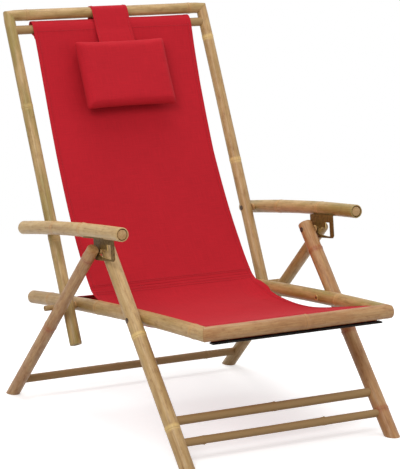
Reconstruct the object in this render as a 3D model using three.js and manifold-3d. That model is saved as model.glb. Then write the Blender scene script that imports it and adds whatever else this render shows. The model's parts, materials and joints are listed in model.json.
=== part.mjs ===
// Folding recliner of bamboo culms with a red canvas sling, a headrest pillow and notched steel brackets.
// Millimetres, +Z up. The sitter faces -Y; left is -X, as a person standing in front sees it.
import * as THREE from 'three';
import { mergeVertices } from 'three/addons/utils/BufferGeometryUtils.js';
import Module from 'manifold-3d';

const wasm = await Module();
wasm.setup();

// Gaps and making allowances
const touch_gap = 0.3;
const turning_gap = 0.4;
const overrun = 6;
const weld = 0.001;

// Culm radii
const rail_radius = 17.5;
const front_leg_radius = 18;
const rear_leg_top_radius = 15;
const rear_leg_foot_radius = 16.5;
const upright_foot_radius = 15.5;
const upright_top_radius = 14.5;
const armrest_radius = 17;
const top_bar_radius = 11.5;
const front_sling_bar_radius = 10;
const rear_sling_bar_radius = 11;
const pivot_rod_radius = 7;
const upper_crossbar_radius = 11;
const lower_crossbar_radius = 10;
const rear_crossbar_radius = 10.5;

// Culm surface: the ring at each node, the worn edge at each cut end, the hollow behind it
const node_height = 1.4;
const node_width = 7;
const end_chamfer = 2.2;
const rear_leg_chamfer = 5;
const ring_spacing = 110;
const bore_share = 0.46;
const bore_depth = 22;

// Seat frame, seen from the side
const rail_inner_half_width = 229.6;
const seat_front_y = -124;
const seat_front_z = 314.6;
const rail_length = 909;
const rail_fall_deg = 4.57;
const rail_bow = 9.5;
const leg_pivot_setback = 278.6;
const back_pivot_setback = 624.4;
const rear_bar_setback = 686;
const front_sling_bar_drop = 1.6;
const pivot_rod_overhang = 7;

// Legs
const front_leg_lean_deg = 49.5;
const front_leg_above_pivot = 195.5;
const front_leg_tip = 18;
const rear_leg_tip = 12;
const upper_crossbar_from_pin = 468;
const lower_crossbar_from_pin = 525;
const rear_crossbar_from_pin = 581;
const bar_tenon = 13;

// Back frame
const rail_to_upright = 4.9;
const back_lean_deg = 65.3;
const arm_pivot_rise = 208.4;
const back_height_above_pivot = 773.6;
const back_tail = 101;
const top_bar_drop = 40;

// Armrests
const armrest_ahead_of_pin = 164.7;
const armrest_tail = 79;
const armrest_rise_deg = 6.6;
const armrest_bow = 5.4;
const armrest_beyond_plate = 18.7;
const armrest_bore_share = 0.6;
const plug_inset = 4;
const plug_length = 14;

// Steel bracket under each armrest, with the notched window that the pin slides in
const plate_thickness = 2;
const leg_to_plate = 6.3;
const plate_drop = 73;
const plate_behind_pin = 22;
const plate_ahead_of_pin = 83;
const plate_corner = 6;
const flange_past_armrest_middle = 11.3;
const flange_seat_depth = 2.4;
const window_margin = 0.8;
const window_first_run = 4;
const window_first_drop = 8;
const window_middle_run = 22;
const window_middle_drop = 15;
const window_last_run = 57;
const window_last_drop = 18.4;
const bay_start = 47.5;
const bay_end = 66.2;
const bay_rise = 16.4;
const notch_pitch = 18;
const first_tooth_depth = 1.6;
const tooth_depth = 3.4;
const tooth_width = 3;
const tooth_slope = 1.2;

// Fasteners
const bolt_radius = 3;
const bolt_clearance = 0.35;
const bolt_head_radius = 7;
const bolt_head_height = 3;
const head_seat_depth = 1.5;
const arm_bolt_bite = 22;
const pin_bite = 22;
const spacer_radius = 9;
const screw_radius = 1.8;
const screw_head_radius = 3.6;
const screw_head_height = 1.6;
const screw_length = 15;
const bracket_screw_behind_pin = 13;
const bracket_screw_ahead_of_pin = 68;
const batten_screw_length = 20;
const batten_screw_margin = 40;
const peg_radius = 4;
const peg_length = 26;

// Canvas
const cloth_thickness = 1.6;
const pocket_wall = 2;
const pocket_bite = 2;
const sling_side_gap = 2.2;
const crease_y = 478;
const crease_z = 309;
const seat_low_y = 275;
const seat_low_z = 268.5;
const seat_front_slope_deg = 11.2;
const seat_front_handle = 158;
const seat_low_handle = 115;
const crease_handle = 62;
const seam_gap = 0.5;
const back_low_handle_share = 0.1976;
const back_top_handle_share = 0.4687;
const crease_slope_deg = 44;
const back_low_slope_deg = 47;
const back_top_slope_deg = 69.9;
const flap_setback = 12;
const batten_width = 16;
const batten_height = 3.5;
const batten_overhang = 4;

// Headrest
const pillow_width = 258;
const pillow_height = 178;
const pillow_back_depth = 20;
const pillow_front_depth = 27;
const pillow_below_top = 180.6;
const pillow_edge_half = 3;
const pillow_side_draw = 6;
const strap_width = 105;
const strap_tail = 100;
const strap_tuck = 6;

// Facets
const culm_sides = 14;
const thin_sides = 12;
const hole_sides = 14;
const sling_steps = 12;
const pillow_columns = 14;
const pillow_rows = 10;

// Places of the nodes along each culm, from its foot, front or left end
const left_rail_shares = [0.045, 0.57, 0.87];
const right_rail_shares = [0.215, 0.62, 0.91];
const front_bar_shares = [0.53];
const left_front_leg_shares = [0.198, 0.587];
const right_front_leg_shares = [0.145, 0.494, 0.867];
const left_rear_leg_shares = [0.5, 0.94];
const right_rear_leg_shares = [0.46, 0.9];
const left_upright_shares = [0.31, 0.711];
const right_upright_shares = [0.5, 0.898];
const left_armrest_shares = [0.345, 0.62];
const right_armrest_shares = [0.34, 0.7];
const top_rail_shares = [0.08, 0.92];
const upper_crossbar_shares = [0.487];
const lower_crossbar_shares = [0.102, 0.697];
const rear_crossbar_shares = [0.427, 0.842];

// Colours from the photograph, as sRGB
const bamboo = { color: 0xc3a878, roughness: 0.55, metalness: 0 };
const smoked_bamboo = { color: 0x9b7a4e, roughness: 0.6, metalness: 0 };
const canvas = { color: 0xbe2430, roughness: 0.9, metalness: 0 };
const bronze_steel = { color: 0x5d4a24, roughness: 0.45, metalness: 0.8 };
const black_steel = { color: 0x23211d, roughness: 0.5, metalness: 0.7 };
const pale_wood = { color: 0xcdb48a, roughness: 0.7, metalness: 0 };

const recliner = new THREE.Group();
const left = -1;
const right = 1;
const sides = [left, right];
const label = (s) => (s === left ? 'left' : 'right');

// A point in the side view, y back and z up, and the same point at a distance x from the middle
const side = (y, z) => new THREE.Vector2(y, z);
const at = (x, p) => new THREE.Vector3(x, p.x, p.y);
const radians = THREE.MathUtils.degToRad;
const heading = (deg) => side(Math.cos(radians(deg)), Math.sin(radians(deg)));
const along = (p, d, distance) => p.clone().addScaledVector(d, distance);
const square = (d) => side(-d.y, d.x);
const bowed = (t, bow) => 4 * bow * t * (1 - t);

const up = new THREE.Vector3(0, 0, 1);
const back = new THREE.Vector3(0, 1, 0);
const sideways = new THREE.Vector3(1, 0, 0);

// Closed geometry to manifold solid and back
function solidOf(geometry) {
  const bare = geometry.index ? geometry.toNonIndexed() : geometry.clone();
  bare.deleteAttribute('normal');
  bare.deleteAttribute('uv');
  const merged = mergeVertices(bare, weld);
  const corners = [];
  for (let i = 0; i < merged.index.count; i += 3) {
    const [a, b, c] = [0, 1, 2].map((k) => merged.index.getX(i + k));
    if (a !== b && b !== c && c !== a) corners.push(a, b, c);
  }
  const vertProperties = new Float32Array(merged.attributes.position.array);
  return new wasm.Manifold(new wasm.Mesh({ numProp: 3, vertProperties, triVerts: new Uint32Array(corners) }));
}

function geometryOf(solid) {
  const mesh = solid.getMesh();
  const geometry = new THREE.BufferGeometry();
  const corners = new Float32Array(mesh.vertProperties);
  geometry.setAttribute('position', new THREE.BufferAttribute(corners, mesh.numProp));
  geometry.setIndex(new THREE.BufferAttribute(new Uint32Array(mesh.triVerts), 1));
  geometry.computeVertexNormals();
  return geometry;
}

// Adds a named piece made of the given bodies in one frame; the cutters are in the object's frame
function addPiece(name, finish, bodies, frame, cutters = []) {
  const inverse = frame.clone().invert();
  let solid = solidOf(bodies[0]);
  for (const body of bodies.slice(1)) solid = solid.add(solidOf(body));
  for (const cutter of cutters) solid = solid.subtract(solidOf(cutter.clone().applyMatrix4(inverse)));
  const mesh = new THREE.Mesh(geometryOf(solid), new THREE.MeshStandardMaterial(finish));
  mesh.name = name;
  mesh.applyMatrix4(frame);
  recliner.add(mesh);
  return mesh;
}

// Frame whose Z runs from one point towards another and whose X leans towards a given direction
function frameAlong(from, to, lean) {
  const z = to.clone().sub(from).normalize();
  const y = z.clone().cross(lean).normalize();
  const x = y.clone().cross(z);
  return new THREE.Matrix4().makeBasis(x, y, z).setPosition(from);
}

// Revolved solid along +Z from pairs of radius and height, walked so that its faces look outwards
function turned(profile, facets) {
  const points = profile.map(([r, z]) => side(r, z));
  return new THREE.LatheGeometry(points, facets).rotateX(Math.PI / 2);
}

function disc(radius, from, to, facets) {
  return turned([[0, from], [radius, from], [radius, to], [0, to]], facets);
}

// Round cutter between two points, run past both ends, whose facets stay outside the radius
function drill(from, to, radius, past = overrun) {
  const run = to.clone().sub(from);
  const reach = radius / Math.cos(Math.PI / hole_sides);
  const lean = Math.abs(run.z) > Math.abs(run.x) ? back : up;
  return disc(reach, -past, run.length() + past, hole_sides).applyMatrix4(frameAlong(from, to, lean));
}

// Bamboo culm along +Z, tapered, ringed at its nodes and bowed towards +X, with spare length to cut back
function culm(length, foot_radius, tip_radius, node_shares, options = {}) {
  const { bow = 0, lead = 0, trail = 0, foot_bore = 0, tip_bore = 0, facets = culm_sides } = options;
  const chamfer = options.chamfer ?? end_chamfer;
  const start = -lead;
  const end = length + trail;
  const shareAt = (z) => THREE.MathUtils.clamp(z / length, 0, 1);
  const radiusAt = (z) => THREE.MathUtils.lerp(foot_radius, tip_radius, shareAt(z));
  const rings = [];
  for (const node_share of node_shares) {
    const z = node_share * length;
    rings.push([radiusAt(z - node_width), z - node_width]);
    rings.push([radiusAt(z) + node_height, z]);
    rings.push([radiusAt(z + node_width), z + node_width]);
  }
  const steps = bow ? Math.ceil(length / ring_spacing) : 1;
  for (let i = 1; i < steps; i += 1) {
    const z = (length * i) / steps;
    const crowded = node_shares.some((node_share) => Math.abs(node_share * length - z) < 2 * node_width);
    if (!crowded) rings.push([radiusAt(z), z]);
  }
  rings.sort((a, b) => a[1] - b[1]);
  const foot_hollow = [[0, start + bore_depth], [foot_bore, start + bore_depth], [foot_bore, start]];
  const tip_hollow = [[tip_bore, end], [tip_bore, end - bore_depth], [0, end - bore_depth]];
  const geometry = turned([
    ...(foot_bore ? foot_hollow : [[0, start]]),
    [foot_radius - chamfer, start],
    [foot_radius, start + chamfer],
    ...rings,
    [tip_radius, end - chamfer],
    [tip_radius - chamfer, end],
    ...(tip_bore ? tip_hollow : [[0, end]]),
  ], facets);
  const position = geometry.attributes.position;
  for (let i = 0; i < position.count; i += 1) {
    position.setX(i, position.getX(i) + bowed(position.getZ(i) / length, bow));
  }
  return geometry;
}

// Everything on the far side of a plane, as a block whose near face lies on the plane
function beyond(point, normal) {
  const reach = back_height_above_pivot;
  const block = new THREE.BoxGeometry(reach, reach, reach);
  block.translate(0, 0, reach / 2);
  const lean = Math.abs(normal.y) > Math.abs(normal.z) ? up : back;
  return block.applyMatrix4(frameAlong(point, point.clone().add(normal), lean));
}

// Outline in the side view, carried sideways across the middle
function acrossMiddle(outline, half_width) {
  const shape = new THREE.Shape(outline);
  const geometry = new THREE.ExtrudeGeometry(shape, { depth: 2 * half_width, bevelEnabled: false });
  geometry.translate(0, 0, -half_width);
  return geometry.applyMatrix4(new THREE.Matrix4().makeBasis(back, up, sideways));
}

// Cloth of even thickness under a line of points in the side view, walked so that its right side is below
function clothUnder(points, thickness = cloth_thickness) {
  const below = points.map((p, i) => {
    const before = points[Math.max(i - 1, 0)];
    const after = points[Math.min(i + 1, points.length - 1)];
    const d = after.clone().sub(before).normalize();
    return along(p, square(d), -thickness);
  });
  return [...points, ...below.reverse()];
}

// Sewn pocket round a bar, as a sleeve across the middle
function pocket(centre, bar_radius) {
  const inner = (bar_radius + touch_gap) / Math.cos(Math.PI / hole_sides);
  const outer = inner + pocket_wall;
  const half = sling_half_width;
  const wall = [[inner, -half], [outer, -half], [outer, half], [inner, half], [inner, -half]];
  const sleeve = turned(wall, hole_sides);
  return sleeve.applyMatrix4(frameAlong(at(0, centre), at(half, centre), up));
}
const pocketOuter = (bar_radius) => (bar_radius + touch_gap) / Math.cos(Math.PI / hole_sides) + pocket_wall;

// Skeleton in the side view
const rail_dir = heading(-rail_fall_deg);
const rail_front = side(seat_front_y, seat_front_z);
const rail_rear = along(rail_front, rail_dir, rail_length);
const railPoint = (setback) =>
  along(along(rail_front, rail_dir, setback), square(rail_dir), bowed(setback / rail_length, rail_bow));
const leg_pivot = railPoint(leg_pivot_setback);
const back_pivot = railPoint(back_pivot_setback);
const rear_bar = railPoint(rear_bar_setback);
const front_sling_bar_offset = rail_radius + node_height + touch_gap + pocketOuter(front_sling_bar_radius);
const front_sling_bar = side(rail_front.x + front_sling_bar_offset, rail_front.y - front_sling_bar_drop);

const front_leg_dir = heading(front_leg_lean_deg);
const pin = along(leg_pivot, front_leg_dir, front_leg_above_pivot);
const front_leg_top = along(pin, front_leg_dir, front_leg_tip);
const front_leg_foot = along(pin, front_leg_dir, -(pin.y + front_leg_radius) / front_leg_dir.y);

// The rear leg leans on the overhanging ends of the pivot rod, which stop it opening further
const rod_from_pin = back_pivot.clone().sub(pin);
const rod_contact = pivot_rod_radius + rear_leg_foot_radius + touch_gap;
const rear_leg_turn = rod_from_pin.angle() - Math.asin(rod_contact / rod_from_pin.length());
const rear_leg_dir = side(Math.cos(rear_leg_turn), Math.sin(rear_leg_turn));
const rear_leg_top = along(pin, rear_leg_dir, -rear_leg_tip);
const rear_leg_foot = along(pin, rear_leg_dir, -(pin.y + rear_leg_foot_radius) / rear_leg_dir.y);

const back_dir = heading(back_lean_deg);
const back_front = square(back_dir);
const arm_pivot = along(back_pivot, back_dir, arm_pivot_rise);
const back_top = along(back_pivot, back_dir, back_height_above_pivot);
const back_foot = along(back_pivot, back_dir, -back_tail);
const top_bar = along(back_top, back_dir, -top_bar_drop);

const arm_dir = heading(180 - armrest_rise_deg);
const arm_up = square(arm_dir).negate();
const armrest_length = armrest_tail + pin.clone().sub(arm_pivot).dot(arm_dir) + armrest_ahead_of_pin;
const arm_tail_lift = bowed(armrest_tail / armrest_length, armrest_bow);
const arm_rear = along(along(arm_pivot, arm_dir, -armrest_tail), arm_up, -arm_tail_lift);
const arm_front = along(arm_rear, arm_dir, armrest_length);
const pin_from_arm_rear = pin.clone().sub(arm_rear);
const pin_lift = bowed(pin_from_arm_rear.dot(arm_dir) / armrest_length, armrest_bow);
const arm_above_pin = pin_lift - pin_from_arm_rear.dot(arm_up);

// Layers from the middle outwards
const rail_x = rail_inner_half_width + rail_radius;
const sling_half_width = rail_inner_half_width - sling_side_gap;
const rail_outer_x = rail_x + rail_radius;
const front_leg_x = rail_outer_x + turning_gap + front_leg_radius;
const front_leg_inner_x = front_leg_x - front_leg_radius;
const front_leg_outer_x = front_leg_x + front_leg_radius;
const plate_inner_x = front_leg_outer_x + leg_to_plate;
const plate_outer_x = plate_inner_x + plate_thickness;
const armrest_half_width = plate_inner_x + armrest_beyond_plate;
const flange_width = armrest_beyond_plate + flange_past_armrest_middle;
const rear_leg_inner_x = plate_outer_x + turning_gap;
const rear_leg_x = rear_leg_inner_x + rear_leg_foot_radius;
const rod_end_x = rear_leg_x + rear_leg_foot_radius + pivot_rod_overhang;
const upright_half_width = rail_outer_x + rail_to_upright + upright_foot_radius;
const upright_inner_x = upright_half_width - upright_foot_radius;
const upright_outer_x = upright_half_width + upright_foot_radius;
const armrest_inner_x = armrest_half_width - armrest_radius;
const bolt_hole_radius = bolt_radius + bolt_clearance;

// Mitred corners: each culm is cut on the plane that halves the corner, with a hidden peg across it
function mitre(corner, kept_dir, other_dir) {
  const normal = kept_dir.clone().sub(other_dir).normalize();
  return beyond(corner.clone().addScaledVector(normal, touch_gap / 2), normal.clone().negate());
}
function pegBetween(corner, kept_dir, other_dir) {
  const normal = kept_dir.clone().sub(other_dir).normalize();
  const from = corner.clone().addScaledVector(normal, -peg_length / 2);
  const to = corner.clone().addScaledVector(normal, peg_length / 2);
  return { from, to, hole: drill(from, to, peg_radius + touch_gap, touch_gap) };
}
const middleward = (s) => new THREE.Vector3(-s, 0, 0);
const frontCorner = (s) => [at(s * rail_x, rail_front), at(0, rail_dir), middleward(s)];
const topCorner = (s) => [at(s * upright_half_width, back_top), at(0, back_dir).negate(), middleward(s)];

// Sockets and holes that run sideways
const socket = (s, inner_x, p, radius) =>
  drill(at(s * inner_x, p), at(s * (inner_x + bar_tenon), p), radius + touch_gap, touch_gap);
const openSocket = (s, inner_x, p, radius) => {
  const hole = socket(s, inner_x, p, radius);
  const mouth = drill(at(s * (inner_x - overrun), p), at(s * inner_x, p), radius + touch_gap, touch_gap);
  return [hole, mouth];
};
const holeAcross = (s, from_x, to_x, p, radius) => drill(at(s * from_x, p), at(s * to_x, p), radius, overrun);
const blindHole = (s, from_x, to_x, p, radius) =>
  drill(at(s * from_x, p), at(s * to_x, p), radius, touch_gap);
const headSeat = (s, surface_x, inward, p) => {
  const floor_x = surface_x - inward * (head_seat_depth + touch_gap);
  const radius = bolt_head_radius + touch_gap;
  return holeAcross(s, floor_x + inward * overrun, surface_x + inward * overrun, p, radius);
};

// Seat frame
const rail_shares = (s) => (s === left ? left_rail_shares : right_rail_shares);
for (const s of sides) {
  const geometry = culm(rail_length, rail_radius, rail_radius, rail_shares(s), {
    bow: rail_bow,
    lead: 2 * rail_radius,
    tip_bore: rail_radius * bore_share,
  });
  const stand = frameAlong(at(s * rail_x, rail_front), at(s * rail_x, rail_rear), up);
  addPiece(`seat_rail_${label(s)}`, bamboo, [geometry], stand, [
    mitre(...frontCorner(s)),
    pegBetween(...frontCorner(s)).hole,
    holeAcross(s, rail_inner_half_width, rail_outer_x, leg_pivot, bolt_hole_radius),
    headSeat(s, rail_inner_half_width, -1, leg_pivot),
    holeAcross(s, rail_inner_half_width, rail_outer_x, back_pivot, pivot_rod_radius + turning_gap),
    ...openSocket(s, rail_inner_half_width, rear_bar, rear_sling_bar_radius),
    ...openSocket(s, rail_inner_half_width, front_sling_bar, front_sling_bar_radius),
  ]);
}

// A round bar across the middle, its ends let into sockets
function crossbar(name, finish, inner_x, p, radius, node_shares, cutters = []) {
  const half = inner_x + bar_tenon;
  const options = { facets: thin_sides, chamfer: end_chamfer / 2 };
  const geometry = culm(2 * half, radius, radius, node_shares, options);
  addPiece(name, finish, [geometry], frameAlong(at(-half, p), at(half, p), up), cutters);
}

const batten_screw_xs = [-1, 0, 1].map((k) => k * (sling_half_width - batten_screw_margin));
const batten_top_z = rail_front.y - rail_radius - node_height - touch_gap - cloth_thickness - touch_gap;
const batten_bottom = side(rail_front.x, batten_top_z - batten_height);
const battenScrewHole = (x, radius) => {
  const from = at(x, batten_bottom);
  return drill(from, from.clone().addScaledVector(up, batten_screw_length), radius, touch_gap);
};
const spare = { lead: 2 * rail_radius, trail: 2 * rail_radius };
const front_bar = culm(2 * rail_x, rail_radius, rail_radius, front_bar_shares, spare);
addPiece('front_bar', bamboo, [front_bar], frameAlong(at(-rail_x, rail_front), at(rail_x, rail_front), up), [
  ...sides.map((s) => mitre(frontCorner(s)[0], frontCorner(s)[2], frontCorner(s)[1])),
  ...sides.map((s) => pegBetween(...frontCorner(s)).hole),
  ...batten_screw_xs.map((x) => battenScrewHole(x, screw_radius + touch_gap)),
]);
for (const [name, p, radius] of [
  ['front_sling_bar', front_sling_bar, front_sling_bar_radius],
  ['rear_sling_bar', rear_bar, rear_sling_bar_radius],
]) {
  crossbar(name, smoked_bamboo, rail_inner_half_width, p, radius, []);
}

const rod_bore = pivot_rod_radius * bore_share;
const rod = culm(2 * rod_end_x, pivot_rod_radius, pivot_rod_radius, [], {
  facets: thin_sides,
  chamfer: end_chamfer / 2,
  foot_bore: rod_bore,
  tip_bore: rod_bore,
});
const rod_frame = frameAlong(at(-rod_end_x, back_pivot), at(rod_end_x, back_pivot), up);
addPiece('pivot_rod', smoked_bamboo, [rod], rod_frame);

// Front legs, cut flat on the floor
const floorCut = (foot) => beyond(at(0, side(foot.x, 0)), up.clone().negate());
const upper_crossbar = along(pin, front_leg_dir, -upper_crossbar_from_pin);
const lower_crossbar = along(pin, front_leg_dir, -lower_crossbar_from_pin);
const front_leg_shares = (s) => (s === left ? left_front_leg_shares : right_front_leg_shares);
for (const s of sides) {
  const from = at(s * front_leg_x, front_leg_foot);
  const to = at(s * front_leg_x, front_leg_top);
  const geometry = culm(from.distanceTo(to), front_leg_radius, front_leg_radius, front_leg_shares(s), {
    tip_bore: front_leg_radius * bore_share / 2,
  });
  addPiece(`front_leg_${label(s)}`, bamboo, [geometry], frameAlong(from, to, back), [
    floorCut(front_leg_foot),
    holeAcross(s, front_leg_inner_x, front_leg_outer_x, leg_pivot, bolt_hole_radius),
    headSeat(s, front_leg_outer_x, 1, leg_pivot),
    holeAcross(s, front_leg_inner_x, front_leg_outer_x, pin, bolt_hole_radius),
    headSeat(s, front_leg_inner_x, -1, pin),
    ...openSocket(s, front_leg_inner_x, upper_crossbar, upper_crossbar_radius),
    ...openSocket(s, front_leg_inner_x, lower_crossbar, lower_crossbar_radius),
  ]);
}
for (const [name, p, radius, shares] of [
  ['front_crossbar_upper', upper_crossbar, upper_crossbar_radius, upper_crossbar_shares],
  ['front_crossbar_lower', lower_crossbar, lower_crossbar_radius, lower_crossbar_shares],
]) {
  crossbar(name, smoked_bamboo, front_leg_inner_x, p, radius, shares);
}

// Rear legs, cut flat on the floor
const rear_crossbar = along(pin, rear_leg_dir, rear_crossbar_from_pin);
const rear_leg_shares = (s) => (s === left ? left_rear_leg_shares : right_rear_leg_shares);
for (const s of sides) {
  const from = at(s * rear_leg_x, rear_leg_foot);
  const to = at(s * rear_leg_x, rear_leg_top);
  const geometry = culm(from.distanceTo(to), rear_leg_foot_radius, rear_leg_top_radius, rear_leg_shares(s), {
    chamfer: rear_leg_chamfer,
  });
  addPiece(`rear_leg_${label(s)}`, bamboo, [geometry], frameAlong(from, to, back), [
    floorCut(rear_leg_foot),
    blindHole(s, rear_leg_inner_x, plate_outer_x + pin_bite, pin, bolt_hole_radius),
    holeAcross(s, plate_inner_x, rear_leg_inner_x, pin, bolt_hole_radius),
    ...openSocket(s, rear_leg_inner_x, rear_crossbar, rear_crossbar_radius),
  ]);
}
crossbar(
  'rear_crossbar',
  smoked_bamboo,
  rear_leg_inner_x,
  rear_crossbar,
  rear_crossbar_radius,
  rear_crossbar_shares,
);

// Back frame
const upright_shares = (s) => (s === left ? left_upright_shares : right_upright_shares);
for (const s of sides) {
  const from = at(s * upright_half_width, back_foot);
  const to = at(s * upright_half_width, back_top);
  const geometry = culm(from.distanceTo(to), upright_foot_radius, upright_top_radius, upright_shares(s), {
    trail: 2 * upright_top_radius,
    foot_bore: upright_foot_radius * bore_share,
  });
  addPiece(`upright_${label(s)}`, bamboo, [geometry], frameAlong(from, to, back), [
    mitre(...topCorner(s)),
    pegBetween(...topCorner(s)).hole,
    holeAcross(s, upright_inner_x, upright_outer_x, back_pivot, pivot_rod_radius + turning_gap),
    holeAcross(s, upright_inner_x, upright_outer_x, arm_pivot, bolt_hole_radius),
    headSeat(s, upright_inner_x, -1, arm_pivot),
    ...openSocket(s, upright_inner_x, top_bar, top_bar_radius),
  ]);
}
const top_rail = culm(2 * upright_half_width, upright_top_radius, upright_top_radius, top_rail_shares, {
  lead: 2 * upright_top_radius,
  trail: 2 * upright_top_radius,
});
const top_rail_frame = frameAlong(at(-upright_half_width, back_top), at(upright_half_width, back_top), up);
addPiece('top_rail', bamboo, [top_rail], top_rail_frame, [
  ...sides.map((s) => mitre(topCorner(s)[0], topCorner(s)[2], topCorner(s)[1])),
  ...sides.map((s) => pegBetween(...topCorner(s)).hole),
]);
crossbar('top_sling_bar', smoked_bamboo, upright_inner_x, top_bar, top_bar_radius, []);

// Hidden pegs across the four mitred corners
for (const s of sides) {
  for (const [name, corner] of [['front', frontCorner(s)], ['top', topCorner(s)]]) {
    const { from, to } = pegBetween(...corner);
    const peg = disc(peg_radius, 0, peg_length, thin_sides);
    addPiece(`mitre_peg_${name}_${label(s)}`, pale_wood, [peg], frameAlong(from, to, up.clone().add(back)));
  }
}

// Steel angle under each armrest; its outline is measured forward and up from the pin
const flange_top = arm_above_pin - armrest_radius + flange_seat_depth;
const flange_bottom = flange_top - plate_thickness;
const plate_bottom = arm_above_pin - plate_drop;
const pin_room = bolt_hole_radius + window_margin;
const teeth = [1, 2].map((k) => (k - 1 / 2) * notch_pitch);
const arm_turn = new THREE.Matrix4().makeBasis(at(0, arm_dir), at(0, arm_up), sideways.clone().negate());
const arm_frame = (x) => arm_turn.clone().setPosition(at(x, pin));

function plateShape() {
  const shape = new THREE.Shape();
  shape.moveTo(-plate_behind_pin, flange_top);
  shape.lineTo(-plate_behind_pin, plate_bottom + plate_corner);
  shape.lineTo(plate_corner - plate_behind_pin, plate_bottom);
  shape.lineTo(plate_ahead_of_pin - plate_corner, plate_bottom);
  shape.lineTo(plate_ahead_of_pin, plate_bottom + plate_corner);
  shape.lineTo(plate_ahead_of_pin, flange_top);
  const window = new THREE.Path();
  window.moveTo(-pin_room, pin_room);
  for (const [i, run] of teeth.entries()) {
    const depth = i === 0 ? first_tooth_depth : tooth_depth;
    const half = tooth_width / 2;
    window.lineTo(run - half - tooth_slope, pin_room);
    window.lineTo(run - half, pin_room - depth);
    window.lineTo(run + half, pin_room - depth);
    window.lineTo(run + half + tooth_slope, pin_room);
  }
  window.lineTo(bay_start - tooth_width - tooth_slope, pin_room);
  window.lineTo(bay_start - tooth_width, pin_room - tooth_depth);
  window.lineTo(bay_start, pin_room - tooth_depth);
  window.lineTo(bay_start, bay_rise);
  window.lineTo(bay_end, bay_rise);
  window.lineTo(bay_end, -window_last_drop);
  window.lineTo(window_last_run, -window_last_drop);
  window.lineTo(window_middle_run, -window_middle_drop);
  window.lineTo(window_first_run, -window_first_drop);
  window.lineTo(-pin_room, -pin_room);
  shape.holes.push(window);
  return shape;
}
const flange_shape = new THREE.Shape([
  side(-plate_behind_pin, flange_bottom),
  side(plate_ahead_of_pin, flange_bottom),
  side(plate_ahead_of_pin, flange_top),
  side(-plate_behind_pin, flange_top),
]);
const armPoint = (run, rise) => along(along(pin, arm_dir, run), arm_up, rise);
const bracketScrews = (s) =>
  [['rear', -bracket_screw_behind_pin], ['front', bracket_screw_ahead_of_pin]].map(([name, run]) => {
    const from = at(s * armrest_half_width, armPoint(run, flange_bottom));
    return { name, frame: frameAlong(from, from.clone().add(at(0, arm_up)), back) };
  });
function screwProfile(grow, length) {
  const round = grow ? 1 / Math.cos(Math.PI / hole_sides) : 1;
  const head = (screw_head_radius + grow) * round;
  const shank = (screw_radius + grow) * round;
  const past = grow ? overrun : 0;
  const tip = length + grow;
  return [[0, -past], [head, -past], [head, 0], [shank, screw_head_height], [shank, tip], [0, tip]];
}

// A point on the axis of the armrest's bore, so far back from its front end
const bore_lift = bowed(bore_depth / armrest_length, armrest_bow);
const insideTip = (inset) =>
  along(along(arm_front, arm_dir, -inset), arm_up, (bore_lift * inset) / bore_depth);

const armrest_shares = (s) => (s === left ? left_armrest_shares : right_armrest_shares);
const armrest_bore = armrest_radius * armrest_bore_share;
for (const s of sides) {
  const plate_from = s === left ? -plate_inner_x : plate_outer_x;
  const flange_from = s === left ? -plate_inner_x : plate_inner_x + flange_width;
  const local = (shape, x, depth) => {
    const geometry = new THREE.ExtrudeGeometry(shape, { depth, bevelEnabled: false });
    return geometry.translate(0, 0, plate_from - x);
  };
  const screws = bracketScrews(s);
  const screwHole = () => turned(screwProfile(touch_gap, screw_length), hole_sides);
  const screwHoles = screws.map(({ frame }) => screwHole().applyMatrix4(frame));
  const bodies = [
    local(plateShape(), plate_from, plate_thickness),
    local(flange_shape, flange_from, flange_width),
  ];
  addPiece(`notch_bracket_${label(s)}`, bronze_steel, bodies, arm_frame(plate_from), screwHoles);
  for (const { name, frame } of screws) {
    const screw = turned(screwProfile(0, screw_length), thin_sides);
    addPiece(`bracket_screw_${name}_${label(s)}`, black_steel, [screw], frame);
  }

  // The armrest has a flat cut for the flange and a wooden plug set back in its front end
  const seat_length = plate_behind_pin + plate_ahead_of_pin + 2 * touch_gap;
  const seat = new THREE.BoxGeometry(seat_length, armrest_radius, 4 * armrest_radius);
  const seat_middle = seat_length / 2 - plate_behind_pin - touch_gap;
  seat.translate(seat_middle, flange_top + touch_gap - armrest_radius / 2, 0);
  seat.applyMatrix4(arm_frame(s * armrest_half_width));
  const from = at(s * armrest_half_width, arm_rear);
  const to = at(s * armrest_half_width, arm_front);
  const geometry = culm(armrest_length, armrest_radius, armrest_radius, armrest_shares(s), {
    bow: armrest_bow,
    foot_bore: armrest_radius * bore_share,
    tip_bore: armrest_bore,
  });
  addPiece(`armrest_${label(s)}`, bamboo, [geometry], frameAlong(from, to, up), [
    seat,
    ...screwHoles,
    blindHole(s, armrest_inner_x, armrest_inner_x + arm_bolt_bite, arm_pivot, bolt_hole_radius),
    holeAcross(s, upright_outer_x, armrest_inner_x, arm_pivot, bolt_hole_radius),
  ]);
  const plug = disc(armrest_bore * Math.cos(Math.PI / culm_sides) - touch_gap, 0, plug_length, thin_sides);
  const plug_frame = frameAlong(at(s * armrest_half_width, insideTip(plug_inset + plug_length)), to, up);
  addPiece(`armrest_plug_${label(s)}`, pale_wood, [plug], plug_frame);
}

// Bolts, pins, nuts and spacers, each standing on the surface that its head rests on
function headed(length) {
  const facets = thin_sides;
  return turned([
    [0, 0],
    [bolt_head_radius, 0],
    [bolt_head_radius, bolt_head_height],
    [bolt_radius, bolt_head_height],
    [bolt_radius, length],
    [0, length],
  ], facets);
}
function ring(inner, outer, length) {
  const clear = inner / Math.cos(Math.PI / thin_sides);
  return turned([[clear, 0], [outer, 0], [outer, length], [clear, length], [clear, 0]], thin_sides);
}
const ringAcross = (name, finish, s, from_x, to_x, p, inner, outer) => {
  const stand = frameAlong(at(s * from_x, p), at(s * to_x, p), up);
  addPiece(name, finish, [ring(inner, outer, to_x - from_x)], stand);
};

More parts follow.
